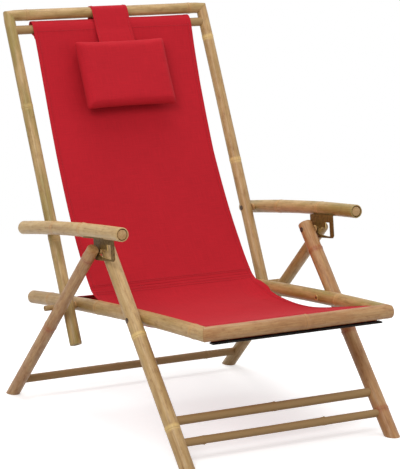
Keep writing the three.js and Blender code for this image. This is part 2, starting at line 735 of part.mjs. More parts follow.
for (const s of sides) {
  const leg_head_x = front_leg_outer_x - head_seat_depth + bolt_head_height;
  const leg_bolt_end_x = rail_inner_half_width + head_seat_depth - bolt_head_height;
  addPiece(
    `leg_pivot_bolt_${label(s)}`,
    black_steel,
    [headed(leg_head_x - leg_bolt_end_x)],
    frameAlong(at(s * leg_head_x, leg_pivot), at(s * leg_bolt_end_x, leg_pivot), up),
  );
  const nut_to_x = rail_inner_half_width + head_seat_depth;
  const nut_from_x = nut_to_x - bolt_head_height;
  ringAcross(
    `leg_pivot_nut_${label(s)}`,
    black_steel,
    s,
    nut_from_x,
    nut_to_x,
    leg_pivot,
    bolt_hole_radius,
    bolt_head_radius,
  );

  const pin_head_x = front_leg_inner_x + head_seat_depth - bolt_head_height;
  const pin_end_x = plate_outer_x + pin_bite;
  addPiece(
    `notch_pin_${label(s)}`,
    black_steel,
    [headed(pin_end_x - pin_head_x)],
    frameAlong(at(s * pin_head_x, pin), at(s * pin_end_x, pin), up),
  );
  ringAcross(
    `notch_spacer_${label(s)}`,
    pale_wood,
    s,
    front_leg_outer_x + touch_gap,
    plate_inner_x - touch_gap,
    pin,
    bolt_hole_radius,
    spacer_radius,
  );
  const arm_head_x = upright_inner_x + head_seat_depth - bolt_head_height;
  const arm_end_x = armrest_inner_x + arm_bolt_bite;
  addPiece(
    `arm_pivot_bolt_${label(s)}`,
    black_steel,
    [headed(arm_end_x - arm_head_x)],
    frameAlong(at(s * arm_head_x, arm_pivot), at(s * arm_end_x, arm_pivot), up),
  );
  ringAcross(
    `arm_spacer_${label(s)}`,
    pale_wood,
    s,
    upright_outer_x + touch_gap,
    armrest_inner_x - touch_gap,
    arm_pivot,
    bolt_hole_radius,
    spacer_radius,
  );
  ringAcross(
    `back_spacer_${label(s)}`,
    pale_wood,
    s,
    rail_outer_x + touch_gap,
    upright_inner_x - touch_gap,
    back_pivot,
    pivot_rod_radius + touch_gap,
    spacer_radius + touch_gap,
  );
}

// Points on a curve with its two end directions, in equal steps
function curve(from, from_dir, from_handle, to, to_dir, to_handle, steps) {
  const a = along(from, from_dir, from_handle);
  const b = along(to, to_dir, -to_handle);
  return new THREE.CubicBezierCurve(from, a, b, to).getPoints(steps);
}

// Canvas: the seat runs from its front pocket to the crease, the back from the crease to the top pocket
const front_slope = heading(-seat_front_slope_deg);
const wall_inset = (pocket_wall - cloth_thickness) / 2;
const onPocket = (centre, bar_radius, slope) =>
  along(centre, square(slope), pocketOuter(bar_radius) - wall_inset);
const seat_start = onPocket(front_sling_bar, front_sling_bar_radius, front_slope);
const level = heading(0);
const seat_low = side(seat_low_y, seat_low_z);
const crease = side(crease_y, crease_z);
const crease_dir = heading(crease_slope_deg);
const seat_line = [
  along(seat_start, front_slope, -pocket_bite),
  ...curve(seat_start, front_slope, seat_front_handle, seat_low, level, seat_low_handle, sling_steps),
  ...curve(seat_low, level, seat_low_handle, crease, crease_dir, crease_handle, sling_steps).slice(1),
];
const tail_drop = rail_radius + node_height + touch_gap;
const pocket_floor = along(front_sling_bar, level, -pocket_bite);
const pocket_bottom = front_sling_bar.y - pocketOuter(front_sling_bar_radius);
const tail_line = [
  side(pocket_floor.x, pocket_bottom + wall_inset + cloth_thickness),
  side(rail_front.x + batten_width / 2, rail_front.y - tail_drop),
  side(rail_front.x - batten_width / 2, rail_front.y - tail_drop),
].reverse();
const stand = new THREE.Matrix4();
addPiece('seat_sling', canvas, [
  pocket(front_sling_bar, front_sling_bar_radius),
  acrossMiddle(clothUnder(seat_line), sling_half_width),
  acrossMiddle(clothUnder(tail_line), sling_half_width),
], stand, batten_screw_xs.map((x) => battenScrewHole(x, screw_radius + touch_gap)));

const back_low_dir = heading(back_low_slope_deg);
const back_high_dir = heading(back_top_slope_deg);
const back_start = along(crease, crease_dir, seam_gap);
const back_end = onPocket(top_bar, top_bar_radius, back_high_dir);
const back_span = back_start.distanceTo(back_end);
const back_low_handle = back_low_handle_share * back_span;
const back_top_handle = back_top_handle_share * back_span;
const back_line = curve(
  back_start,
  back_low_dir,
  back_low_handle,
  back_end,
  back_high_dir,
  back_top_handle,
  2 * sling_steps,
);
addPiece('back_sling', canvas, [
  pocket(top_bar, top_bar_radius),
  acrossMiddle(clothUnder([...back_line, along(back_end, back_high_dir, pocket_bite)]), sling_half_width),
], stand);

const behind_crease = along(crease, crease_dir, -flap_setback);
const flap_start = along(behind_crease, square(crease_dir), -cloth_thickness - seam_gap);
const flap_aim = along(rear_bar, heading(90), pocketOuter(rear_sling_bar_radius) - wall_inset);
const flap_dir = flap_aim.clone().sub(flap_start).normalize();
const flap_end = onPocket(rear_bar, rear_sling_bar_radius, flap_dir);
addPiece('rear_flap', canvas, [
  pocket(rear_bar, rear_sling_bar_radius),
  acrossMiddle(clothUnder([flap_start, flap_end, along(flap_end, flap_dir, pocket_bite)]), sling_half_width),
], stand);

// Batten that clamps the tail of the seat under the front bar
const batten_half = sling_half_width + batten_overhang;
const batten_body = new THREE.BoxGeometry(2 * batten_half, batten_width, batten_height);
batten_body.translate(0, rail_front.x, batten_bottom.y + batten_height / 2);
const screwFrame = (x) => frameAlong(at(x, batten_bottom), at(x, batten_bottom).add(up), back);
addPiece('front_batten', black_steel, [batten_body], stand, batten_screw_xs.map((x) =>
  turned(screwProfile(touch_gap, batten_screw_length), hole_sides).applyMatrix4(screwFrame(x))));
for (const [i, x] of batten_screw_xs.entries()) {
  const name = ['left', 'middle', 'right'][i];
  const screw = turned(screwProfile(0, batten_screw_length), thin_sides);
  addPiece(`batten_screw_${name}`, black_steel, [screw], screwFrame(x));
}

// Pillow: a crowned cushion with drawn-in sides, resting on the sling where its rear is fullest
const crownAt = (u, v) => Math.sqrt((1 - u ** 6) * (1 - v ** 4));
const rowAt = (u, z) => z / (pillow_height / 2 - pillow_side_draw * (1 - u * u));
const rearAt = (u, z) => pillow_edge_half + (pillow_back_depth - pillow_edge_half) * crownAt(u, rowAt(u, z));
const pillow_reach = pillow_height / 2 - pillow_side_draw;
const pillow_centre_from_pivot = back_height_above_pivot - pillow_below_top;
const standoffs = back_line.map((p) => {
  const z = p.clone().sub(back_pivot).dot(back_dir) - pillow_centre_from_pivot;
  const out = p.clone().sub(back_pivot).dot(back_front);
  return Math.abs(z) < pillow_reach ? out + rearAt(0, z) : out;
});
const pillow_standoff = Math.max(...standoffs) + touch_gap;
const pillow_foot = along(back_pivot, back_dir, pillow_centre_from_pivot);
const pillow_centre = along(pillow_foot, back_front, pillow_standoff);
function pillowGeometry() {
  const points = [];
  const index = [];
  const grid = (columns, rows) => {
    for (const face of [1, -1]) {
      const depth = face > 0 ? pillow_front_depth : pillow_back_depth;
      for (let j = 0; j <= rows; j += 1) {
        for (let i = 0; i <= columns; i += 1) {
          const u = -Math.cos((Math.PI * i) / columns);
          const v = -Math.cos((Math.PI * j) / rows);
          const crown = crownAt(u, v);
          const x = (u * pillow_width) / 2 - u * pillow_side_draw * (1 - v * v);
          const z = (v * pillow_height) / 2 - v * pillow_side_draw * (1 - u * u);
          points.push(x, face * (pillow_edge_half + (depth - pillow_edge_half) * crown), z);
        }
      }
    }
  };
  grid(pillow_columns, pillow_rows);
  const columns = pillow_columns + 1;
  const sheet = columns * (pillow_rows + 1);
  const id = (face, i, j) => face * sheet + j * columns + i;
  for (let j = 0; j < pillow_rows; j += 1) {
    for (let i = 0; i < pillow_columns; i += 1) {
      index.push(id(0, i, j), id(0, i + 1, j + 1), id(0, i + 1, j));
      index.push(id(0, i, j), id(0, i, j + 1), id(0, i + 1, j + 1));
      index.push(id(1, i, j), id(1, i + 1, j), id(1, i + 1, j + 1));
      index.push(id(1, i, j), id(1, i + 1, j + 1), id(1, i, j + 1));
    }
  }
  const edge = [];
  for (let i = 0; i < pillow_columns; i += 1) edge.push([i, 0]);
  for (let j = 0; j < pillow_rows; j += 1) edge.push([pillow_columns, j]);
  for (let i = pillow_columns; i > 0; i -= 1) edge.push([i, pillow_rows]);
  for (let j = pillow_rows; j > 0; j -= 1) edge.push([0, j]);
  for (const [k, [i, j]] of edge.entries()) {
    const [m, n] = edge[(k + 1) % edge.length];
    index.push(id(0, i, j), id(0, m, n), id(1, m, n), id(0, i, j), id(1, m, n), id(1, i, j));
  }
  const geometry = new THREE.BufferGeometry();
  geometry.setAttribute('position', new THREE.BufferAttribute(new Float32Array(points), 3));
  geometry.setIndex(index);
  return geometry;
}
const pillow_frame = new THREE.Matrix4().makeBasis(
  sideways.clone().negate(),
  at(0, back_front),
  at(0, back_dir),
).setPosition(at(0, pillow_centre));
addPiece('headrest_pillow', canvas, [pillowGeometry()], pillow_frame);

// Strap: from behind the pillow's top edge, over the top pocket and the top rail, and down behind
const strap_clear = pocketOuter(top_bar_radius) + touch_gap;
const rail_clear = upright_top_radius + touch_gap;
const nearBack = (run, out) => along(along(back_pivot, back_dir, run), back_front, out);
const strap_foot_z = pillow_reach - strap_tuck;
const strap_rear = rearAt(strap_width / pillow_width, strap_foot_z);
const strap_foot_out = pillow_standoff - strap_rear - cloth_thickness - touch_gap;
const strap_out = Math.max(strap_clear, rail_clear);
const wrap = [];
for (let i = 0; i <= sling_steps; i += 1) {
  const turn = (Math.PI * i) / sling_steps;
  wrap.push(nearBack(back_height_above_pivot + strap_out * Math.sin(turn), strap_out * Math.cos(turn)));
}
const strap_line = [
  nearBack(pillow_centre_from_pivot + strap_foot_z, strap_foot_out),
  nearBack(back_height_above_pivot - top_bar_drop, strap_out),
  ...wrap,
  nearBack(back_height_above_pivot - strap_tail, -strap_out),
].reverse();
addPiece('headrest_strap', canvas, [acrossMiddle(clothUnder(strap_line), strap_width / 2)], stand);

// Origin on the floor, in the middle of the bounding box
recliner.updateMatrixWorld(true);
const box = new THREE.Box3().setFromObject(recliner, true);
const middle = box.getCenter(new THREE.Vector3());
recliner.position.set(-middle.x, -middle.y, -box.min.z);
recliner.updateMatrixWorld(true);

export default recliner;
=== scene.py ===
"""Folding recliner of bamboo with a red canvas sling, dressed and lit around its packed frame."""
import json
import math
import random

import bmesh
import bpy
import numpy as np
from bpy.props import FloatProperty, FloatVectorProperty, IntProperty, PointerProperty
from mathutils import Matrix, Vector, noise

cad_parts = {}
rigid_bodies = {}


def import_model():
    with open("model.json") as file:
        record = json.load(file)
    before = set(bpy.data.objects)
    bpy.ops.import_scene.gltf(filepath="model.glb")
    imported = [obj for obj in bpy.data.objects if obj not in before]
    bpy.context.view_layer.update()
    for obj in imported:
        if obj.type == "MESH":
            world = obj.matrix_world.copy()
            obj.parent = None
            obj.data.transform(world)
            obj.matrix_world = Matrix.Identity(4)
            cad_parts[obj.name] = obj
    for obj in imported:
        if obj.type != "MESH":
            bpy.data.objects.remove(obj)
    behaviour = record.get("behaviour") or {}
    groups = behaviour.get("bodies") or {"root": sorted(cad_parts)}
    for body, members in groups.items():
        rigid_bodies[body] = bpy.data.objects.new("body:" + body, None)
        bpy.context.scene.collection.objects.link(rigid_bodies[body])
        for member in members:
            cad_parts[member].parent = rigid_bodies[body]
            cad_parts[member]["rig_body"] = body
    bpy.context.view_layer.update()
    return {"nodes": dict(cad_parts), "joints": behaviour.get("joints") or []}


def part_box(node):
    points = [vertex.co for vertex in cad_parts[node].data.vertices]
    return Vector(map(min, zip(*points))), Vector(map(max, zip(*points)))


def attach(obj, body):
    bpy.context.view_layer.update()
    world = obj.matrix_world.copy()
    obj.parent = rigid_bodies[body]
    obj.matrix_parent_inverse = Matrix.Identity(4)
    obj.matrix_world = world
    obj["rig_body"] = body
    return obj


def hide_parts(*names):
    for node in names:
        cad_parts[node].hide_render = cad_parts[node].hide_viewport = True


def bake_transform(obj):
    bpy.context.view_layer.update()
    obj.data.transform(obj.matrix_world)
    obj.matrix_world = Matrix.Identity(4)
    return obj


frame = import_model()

bl_info = {
    "name": "Bamboo folding recliner",
    "version": (1, 0, 0),
    "blender": (4, 5, 0),
    "location": "3D View > Sidebar > Recliner",
    "description": "Builds the bamboo, canvas and steel of a folding recliner around its packed frame",
    "category": "Object",
}

LEFT, RIGHT = -1, 1
SIDE_NAME = {LEFT: "left", RIGHT: "right"}
SIDEWAYS = Vector((1, 0, 0))
BACKWARD = Vector((0, 1, 0))
UP = Vector((0, 0, 1))

# Sizes that the frame's solids were made with, in metres
RAIL_RADIUS = 0.0175
FRONT_LEG_RADIUS = 0.018
REAR_LEG_RADII = (0.0165, 0.015)
UPRIGHT_RADII = (0.0155, 0.0145)
ARMREST_RADIUS = 0.017
PIVOT_ROD_RADIUS = 0.007
TOP_BAR_RADIUS = 0.0115
FRONT_SLING_BAR_RADIUS = 0.010
REAR_SLING_BAR_RADIUS = 0.011
UPPER_CROSSBAR_RADIUS = 0.011
LOWER_CROSSBAR_RADIUS = 0.010
REAR_CROSSBAR_RADIUS = 0.0105
RAIL_LENGTH = 0.909
RAIL_FALL_DEG = 4.57
RAIL_BOW = 0.0095
FRONT_LEG_TIP = 0.018
REAR_LEG_TIP = 0.012
BACK_TAIL = 0.101
ARMREST_TAIL = 0.079
ARMREST_AHEAD_OF_PIN = 0.1647
ARMREST_RISE_DEG = 6.6
ARMREST_BOW = 0.0054
TOUCH_GAP = 0.0003
TURNING_GAP = 0.0004
BORE_SHARE = 0.46
BORE_DEPTH = 0.022
BOLT_RADIUS = 0.003
BOLT_HEAD_RADIUS = 0.007
HEAD_SEAT_DEPTH = 0.0015
BLIND_HOLE_DEPTH = 0.023
ROD_HOLE_RADIUS = PIVOT_ROD_RADIUS + TURNING_GAP
BOLT_HOLE_RADIUS = BOLT_RADIUS + TOUCH_GAP
HEAD_HOLE_RADIUS = BOLT_HEAD_RADIUS + TOUCH_GAP

# Drilling, discs in the armrests and worn ends: metres, shares of a radius, and the drill's sides
BORE_TAPER_SHARE = 0.9
DRILL_OVERRUN = 0.01
BLIND_OVERRUN = 0.002
ARMREST_BORE_SHARE = 0.84
PLUG_SETBACK = 0.0016
PLUG_DEPTH = 0.012
PLUG_STEP = 0.006
PLUG_WORN_EDGE = 0.0009
CROSSBAR_WORN_EDGE = 0.0011
REAR_LEG_WORN_EDGE = 0.005
THIN_CULM_RADIUS = 0.012
DRILL_SIDES = 24
CUT_PRECISION = 1e-7

# A mitre's point is softened past a share of the radius, by a share of what stands out
MITRE_SOFT_FROM_SHARE = 0.78
MITRE_SOFT_SHARE = 0.5
MITRE_REACH_RADII = 3

# Form of a node: rings, places above its scar and widths, where the name ends in the unit, and metres
NODE_RINGS_MM = (-9, -5.5, -3, -1.7, -0.9, -0.3, 0.3, 0.9, 1.7, 2.6, 3.6, 4.8, 6, 7.4, 9, 11.5, 15)
NODE_CLEARANCE = 0.013
NODE_PAST_END = 0.06
SCAR_WIDTH_MM = 0.9
SCAR_TILT_MM = 0.5
DIP_AT_MM = 2.2
DIP_WIDTH_MM = 1.1
DIP_SHARE = 0.5
SWELLING_AT_MM = 6
SWELLING_WIDTH_MM = 4.2
FURROW_FROM_MM = 6
FURROW_START_MM = 4
FURROW_FADE_MM = 70
FURROW_WIDTH_RAD = 0.42
BUD_HEIGHT = 0.0011
BUD_AT_MM = 7.5
BUD_LENGTH_MM = 3
BUD_WIDTH_MM = 3.2
STAIN_AT_MM = 3
STAIN_WIDTH_MM = 11
BAND_AT_MM = 2
BAND_WIDTH_MM = 7
END_RING_SHARES = (0, 0.3, 1)

# How far a culm is out of round: share of its radius, and lumps with their height, start and twist
OVAL_SHARE_RANGE = (0.004, 0.012)
LUMPS_ROUND = (3, 5)
LUMP_HEIGHT_RANGE = (0.00004, 0.0001)
LUMP_START_RANGE = (0, 6)
LUMP_TWIST_RANGE = (8, 20)

# Shift of the grain from culm to culm, and what of a culm's surface counts as skin
GRAIN_SHIFT = 0.013
SKIN_DEPTH_SHARE = 0.8
SKIN_FACING = 0.5

# Places of the nodes along each culm, from its foot, front or left end, as on the packed solids
NODE_SHARES = {
    "seat_rail_left": [0.045, 0.57, 0.87],
    "seat_rail_right": [0.215, 0.62, 0.91],
    "front_bar": [0.53],
    "front_leg_left": [0.198, 0.587],
    "front_leg_right": [0.145, 0.494, 0.867],
    "rear_leg_left": [0.5, 0.94],
    "rear_leg_right": [0.46, 0.9],
    "upright_left": [0.31, 0.711],
    "upright_right": [0.5, 0.898],
    "armrest_left": [0.345, 0.62],
    "armrest_right": [0.34, 0.7],
    "top_rail": [0.08, 0.92],
    "front_crossbar_upper": [0.487],
    "front_crossbar_lower": [0.102, 0.697],
    "rear_crossbar": [0.427, 0.842],
}

# Finish of each culm: warmth, green, redness of its nodes and strength of their bands
FINISHES = {
    "seat_rail_left": (0.5, 0.45, 0.5, 0.6),
    "seat_rail_right": (0.5, 1.0, 0.5, 0.7),
    "front_bar": (0.85, 0.05, 0.7, 0.6),
    "front_leg_left": (0.35, 0.3, 0.0, 0.9),
    "front_leg_right": (0.85, 0.0, 1.0, 1.0),
    "rear_leg_left": (0.85, 0.05, 1.0, 1.0),
    "rear_leg_right": (0.6, 0.5, 0.6, 0.5),
    "upright_left": (0.45, 0.9, 0.0, 0.45),
    "upright_right": (0.6, 0.4, 0.0, 1.0),
    "armrest_left": (0.1, 0.2, 0.6, 0.8),
    "armrest_right": (0.1, 0.9, 0.45, 0.9),
    "top_rail": (0.5, 0.6, 0.6, 0.4),
    "front_crossbar_upper": (0.4, 0.1, 0.3, 0.6),
    "front_crossbar_lower": (1.0, 0.0, 1.0, 1.0),
    "rear_crossbar": (0.5, 0.0, 0.9, 0.8),
}
PLAIN_FINISH = (0.5, 0.2, 0.5, 0.5)


def linear(hex_colour):
    """Linear colour from an sRGB hex value such as c9b07f"""
    channels = [int(hex_colour[i : i + 2], 16) / 255 for i in (0, 2, 4)]
    return tuple(c / 12.92 if c <= 0.04045 else ((c + 0.055) / 1.055) ** 2.4 for c in channels)


def size_property(name, description, default):
    """Length in metres, shown in the scene's unit"""
    return FloatProperty(
        name=name, description=description, default=default, min=0, unit="LENGTH", precision=4
    )


def colour_property(name, description, hex_colour):
    """Colour given as an sRGB hex value"""
    return FloatVectorProperty(
        name=name, description=description, default=linear(hex_colour), min=0, max=1, subtype="COLOR"
    )


class BambooSettings(bpy.types.PropertyGroup):
    """Sizes and colours of the culms"""

    sides: IntProperty(name="Sides", description="Facets round each culm", default=44, min=12)
    step: size_property("Step", "Spacing of the rings between two nodes", 0.016)
    scar: size_property("Sheath scar", "Height of the sanded ridge at each node", 0.0004)
    swelling: size_property("Swelling", "Height of the soft ring above each scar", 0.0007)
    waist: size_property("Waist", "How far a culm draws in between two nodes", 0.0003)
    groove: size_property("Groove", "Depth of the furrow above each bud", 0.0009)
    worn_edge: size_property("Worn edge", "Rounding of a sawn end", 0.0022)
    straw: colour_property("Straw", "Palest skin", "cdac77")
    tan: colour_property("Tan", "Warmest skin", "a87545")
    umber: colour_property("Umber", "Stains, spots and dark streaks", "6e4725")
    olive: colour_property("Olive", "Green that the drying left", "94803f")
    rust: colour_property("Rust", "Reddish bands at the nodes", "9c5427")
    wax: colour_property("Wax", "Yellow bands at the nodes", "eecb80")
    pith: colour_property("Pith", "Sawn end of a culm", "b8935c")


class CanvasSettings(bpy.types.PropertyGroup):
    """Sizes and colour of the canvas"""

    thickness: size_property("Thickness", "Thickness of the cloth", 0.0016)
    pocket_wall: size_property("Pocket wall", "Room for the cloth round a bar", 0.002)
    pocket_slack: size_property("Pocket slack", "How far the top pocket stands above its bar", 0.0132)
    edge_lift: size_property("Edge lift", "Width of the strip that curls up over the rails", 0.040)
    hem: size_property("Hem", "Width of the folded hem along each side", 0.014)
    hem_rise: size_property("Hem rise", "How far the doubled hem stands up", 0.0006)
    ripple: size_property("Ripple", "Height of the slack ripples", 0.0009)
    stitch_pitch: size_property("Stitch pitch", "Distance from stitch to stitch", 0.0042)
    stitch_length: size_property("Stitch", "Length of one visible stitch", 0.003)
    thread_radius: size_property("Thread radius", "Radius of the sewing thread", 0.00042)
    thread_spacing: size_property("Thread spacing", "Distance between the woven threads", 0.0011)
    red: colour_property("Red", "Dyed cotton", "b81a27")
    red_thread: colour_property("Red thread", "Sewing thread", "a81925")


class HeadrestSettings(bpy.types.PropertyGroup):
    """Sizes of the headrest pillow and its strap"""

    width: size_property("Width", "Width of the pillow", 0.268)
    height: size_property("Height", "Height of the pillow", 0.190)
    border: size_property("Border", "Width of the slope round the flat front", 0.015)
    back_depth: size_property("Back depth", "Depth of the rear half", 0.020)
    front_depth: size_property("Front depth", "Depth of the front half", 0.019)
    side_draw: size_property("Side draw", "How far the sides pull in between the corners", 0.002)
    voxel: size_property("Voxel", "Remesh size before the cloth simulation", 0.005)
    swell_cap: size_property("Swell cap", "Most that the simulation may move a point", 0.0022)
    strap_width: size_property("Strap width", "Width of the strap", 0.105)
    strap_tail: size_property("Strap tail", "Length of the strap behind the top rail", 0.100)


class StageSettings(bpy.types.PropertyGroup):
    """Light and floor"""

    key_watts: FloatProperty(name="Key", description="Power of the key lamp", default=60, unit="POWER")
    fill_watts: FloatProperty(name="Fill", description="Power of the fill lamp", default=15, unit="POWER")
    top_watts: FloatProperty(name="Top", description="Power of the overhead lamp", default=46, unit="POWER")
    sky: FloatProperty(name="Sky", description="Strength of the world's light", default=0.52, min=0)
    lens: FloatProperty(name="Lens", description="Focal length", default=165.48, unit="CAMERA")


GROUPS = {
    "recliner_bamboo": BambooSettings,
    "recliner_canvas": CanvasSettings,
    "recliner_headrest": HeadrestSettings,
    "recliner_stage": StageSettings,
}


def side(y, z):
    """A point or direction in the side view"""
    return Vector((0, y, z))


def heading(degrees):
    """A direction in the side view, turned up from straight back"""
    return side(math.cos(math.radians(degrees)), math.sin(math.radians(degrees)))


def square(d):
    """The direction a quarter turn above another in the side view"""
    return side(-d.z, d.y)


def at(x, p):
    """The point of the side view at a distance from the middle"""
    return Vector((x, p.y, p.z))


def middle(node):
    """Middle of a packed solid's box"""
    low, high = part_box(node)
    return (low + high) / 2


def in_side_view(node):
    """Middle of a packed solid's box, in the side view"""
    return at(0, middle(node))


def bowed(t, bow):
    """Height of a shallow arch at a share of its length"""
    return 4 * bow * t * (1 - t)


# Skeleton in the side view, from the joints and boxes of the frame
JOINT_AT = {joint["name"]: at(0, Vector(joint["pos_m"])) for joint in frame["joints"]}
LEG_PIVOT = JOINT_AT["leg_fold"]
PIN = JOINT_AT["rear_leg_fold"]
BACK_PIVOT = JOINT_AT["back_fold"]
ARM_PIVOT = JOINT_AT["left_arm_fold"]
RAIL_DIR = heading(-RAIL_FALL_DEG)
RAIL_FRONT = in_side_view("front_bar")
RAIL_X = middle("seat_rail_right").x
RAIL_REAR = RAIL_FRONT + RAIL_DIR * RAIL_LENGTH
FRONT_LEG_DIR = (PIN - LEG_PIVOT).normalized()
BACK_DIR = (ARM_PIVOT - BACK_PIVOT).normalized()
BACK_FRONT = square(BACK_DIR)
BACK_TOP = in_side_view("top_rail")
ARM_DIR = heading(180 - ARMREST_RISE_DEG)
ARM_UP = -square(ARM_DIR)


def on_floor(point, direction, radius):
    """Foot of a leg, a radius below the floor, so that the floor cuts it square"""
    return point - direction * ((point.z + radius) / direction.z)


def rear_leg_direction():
    """The rear leg leans on the ends of the pivot rod"""
    rod = BACK_PIVOT - PIN
    reach = PIVOT_ROD_RADIUS + REAR_LEG_RADII[0] + TOUCH_GAP
    turn = math.atan2(rod.z, rod.y) - math.asin(reach / rod.length)
    return heading(math.degrees(turn))


REAR_LEG_DIR = rear_leg_direction()


def add_piece(name, mesh, body, slot, *nodes):
    """Puts a mesh in the scene, on its body, in place of packed solids"""
    piece = bpy.data.objects.new(name, mesh)
    bpy.context.scene.collection.objects.link(piece)
    if body:
        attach(piece, body)
    if nodes:
        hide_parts(*nodes)
    return piece


# Angles from which an edge stays sharp in the shading
SHARP_DEG = {"culm": 38, "canvas": 60, "thread": 80, "pillow": 80, "steel": 30, "bolt": 35}


def smooth(mesh, kind):
    """Smooth shading, with edges kept where faces meet at more than the kind's angle"""
    mesh.polygons.foreach_set("use_smooth", [True] * len(mesh.polygons))
    mesh.set_sharp_from_angle(angle=math.radians(SHARP_DEG[kind]))


def store(mesh, name, vectors):
    """Writes one vector per point"""
    attribute = mesh.attributes.new(name, "FLOAT_VECTOR", "POINT")
    attribute.data.foreach_set("vector", np.asarray(vectors, np.float32).ravel())


def frame_along(start, end, lean):
    """Axes whose Z runs from one point to another and whose X leans towards a direction"""
    z = (end - start).normalized()
    y = z.cross(lean).normalized()
    x = y.cross(z)
    return Matrix((x, y, z)).transposed().to_4x4()


def mesh_from(bm, name):
    """Turns an edited mesh into a mesh of its own"""
    mesh = bpy.data.meshes.new(name)
    bm.to_mesh(mesh)
    bm.free()
    return mesh


def evaluated_mesh(item):
    """Copy of an object's mesh with its modifiers applied"""
    graph = bpy.context.evaluated_depsgraph_get()
    return bpy.data.meshes.new_from_object(item.evaluated_get(graph))


# Materials

COLOUR_MIX = {"data_type": "RGBA"}


def rgba(colour, shade=1.0):
    """Opaque colour, darkened or lightened"""
    return (*(min(1, c * shade) for c in colour), 1)


def grey(level):
    """Opaque grey, for masks"""
    return (level, level, level, 1)


def per_metre(millimetres):
    """Texture scale at which one unit is a real size"""
    return 1000 / millimetres


def new_material(name):
    """Empty node material with its main shader"""
    material = bpy.data.materials.new(name)
    material.use_nodes = True
    tree = material.node_tree
    tree.nodes.clear()
    output = tree.nodes.new("ShaderNodeOutputMaterial")
    shader = tree.nodes.new("ShaderNodeBsdfPrincipled")
    tree.links.new(shader.outputs[0], output.inputs["Surface"])
    return material, tree, shader


def add_node(tree, kind, settings=None, stops=(), output=0, **inputs):
    """Adds a node and gives one output; a socket given as an input is linked, anything else is set"""
    node = tree.nodes.new(kind)
    for key, value in (settings or {}).items():
        setattr(node, key, value)
    for number, (place, colour) in enumerate(stops):
        node.color_ramp.elements[number].position = place
        node.color_ramp.elements[number].color = colour
    for key, value in inputs.items():
        socket = node.inputs[int(key[1:])] if key[0] == "i" and key[1:].isdigit() else node.inputs[key]
        if isinstance(value, bpy.types.NodeSocket):
            tree.links.new(value, socket)
        else:
            socket.default_value = value
    return node.outputs[output]


def dress(tree, shader, values):
    """Links or sets the main shader's sockets"""
    for name, value in values.items():
        if isinstance(value, bpy.types.NodeSocket):
            tree.links.new(value, shader.inputs[name])
        else:
            shader.inputs[name].default_value = value


def stretched_noise(tree, place, across_mm, along_mm, detail=3.0, roughness=0.55):
    """Pattern of a real size, longer along the fibres than across them"""
    scale = (per_metre(across_mm), per_metre(across_mm), per_metre(along_mm))
    mapped = add_node(tree, "ShaderNodeMapping", Vector=place, Scale=scale)
    return add_node(
        tree, "ShaderNodeTexNoise", output="Fac", Vector=mapped, Scale=1.0, Detail=detail, Roughness=roughness
    )


def parts_of(tree, name):
    """The three values of a vector stored on the mesh"""
    vector = add_node(tree, "ShaderNodeAttribute", {"attribute_name": name}, output="Vector")
    return add_node(tree, "ShaderNodeSeparateXYZ", Vector=vector).node.outputs


def layer(tree, under, colour, pattern, low, high, within=1.0):
    """Lays a colour over another by a pattern; low and high are each a place and its strength"""
    stops = [(place, grey(strength)) for place, strength in (low, high)]
    spread = add_node(tree, "ShaderNodeValToRGB", stops=stops, Fac=pattern)
    share = add_node(tree, "ShaderNodeMath", {"operation": "MULTIPLY"}, i0=spread, i1=within)
    return add_node(tree, "ShaderNodeMix", COLOUR_MIX, output=2, i0=share, i6=under, i7=colour)


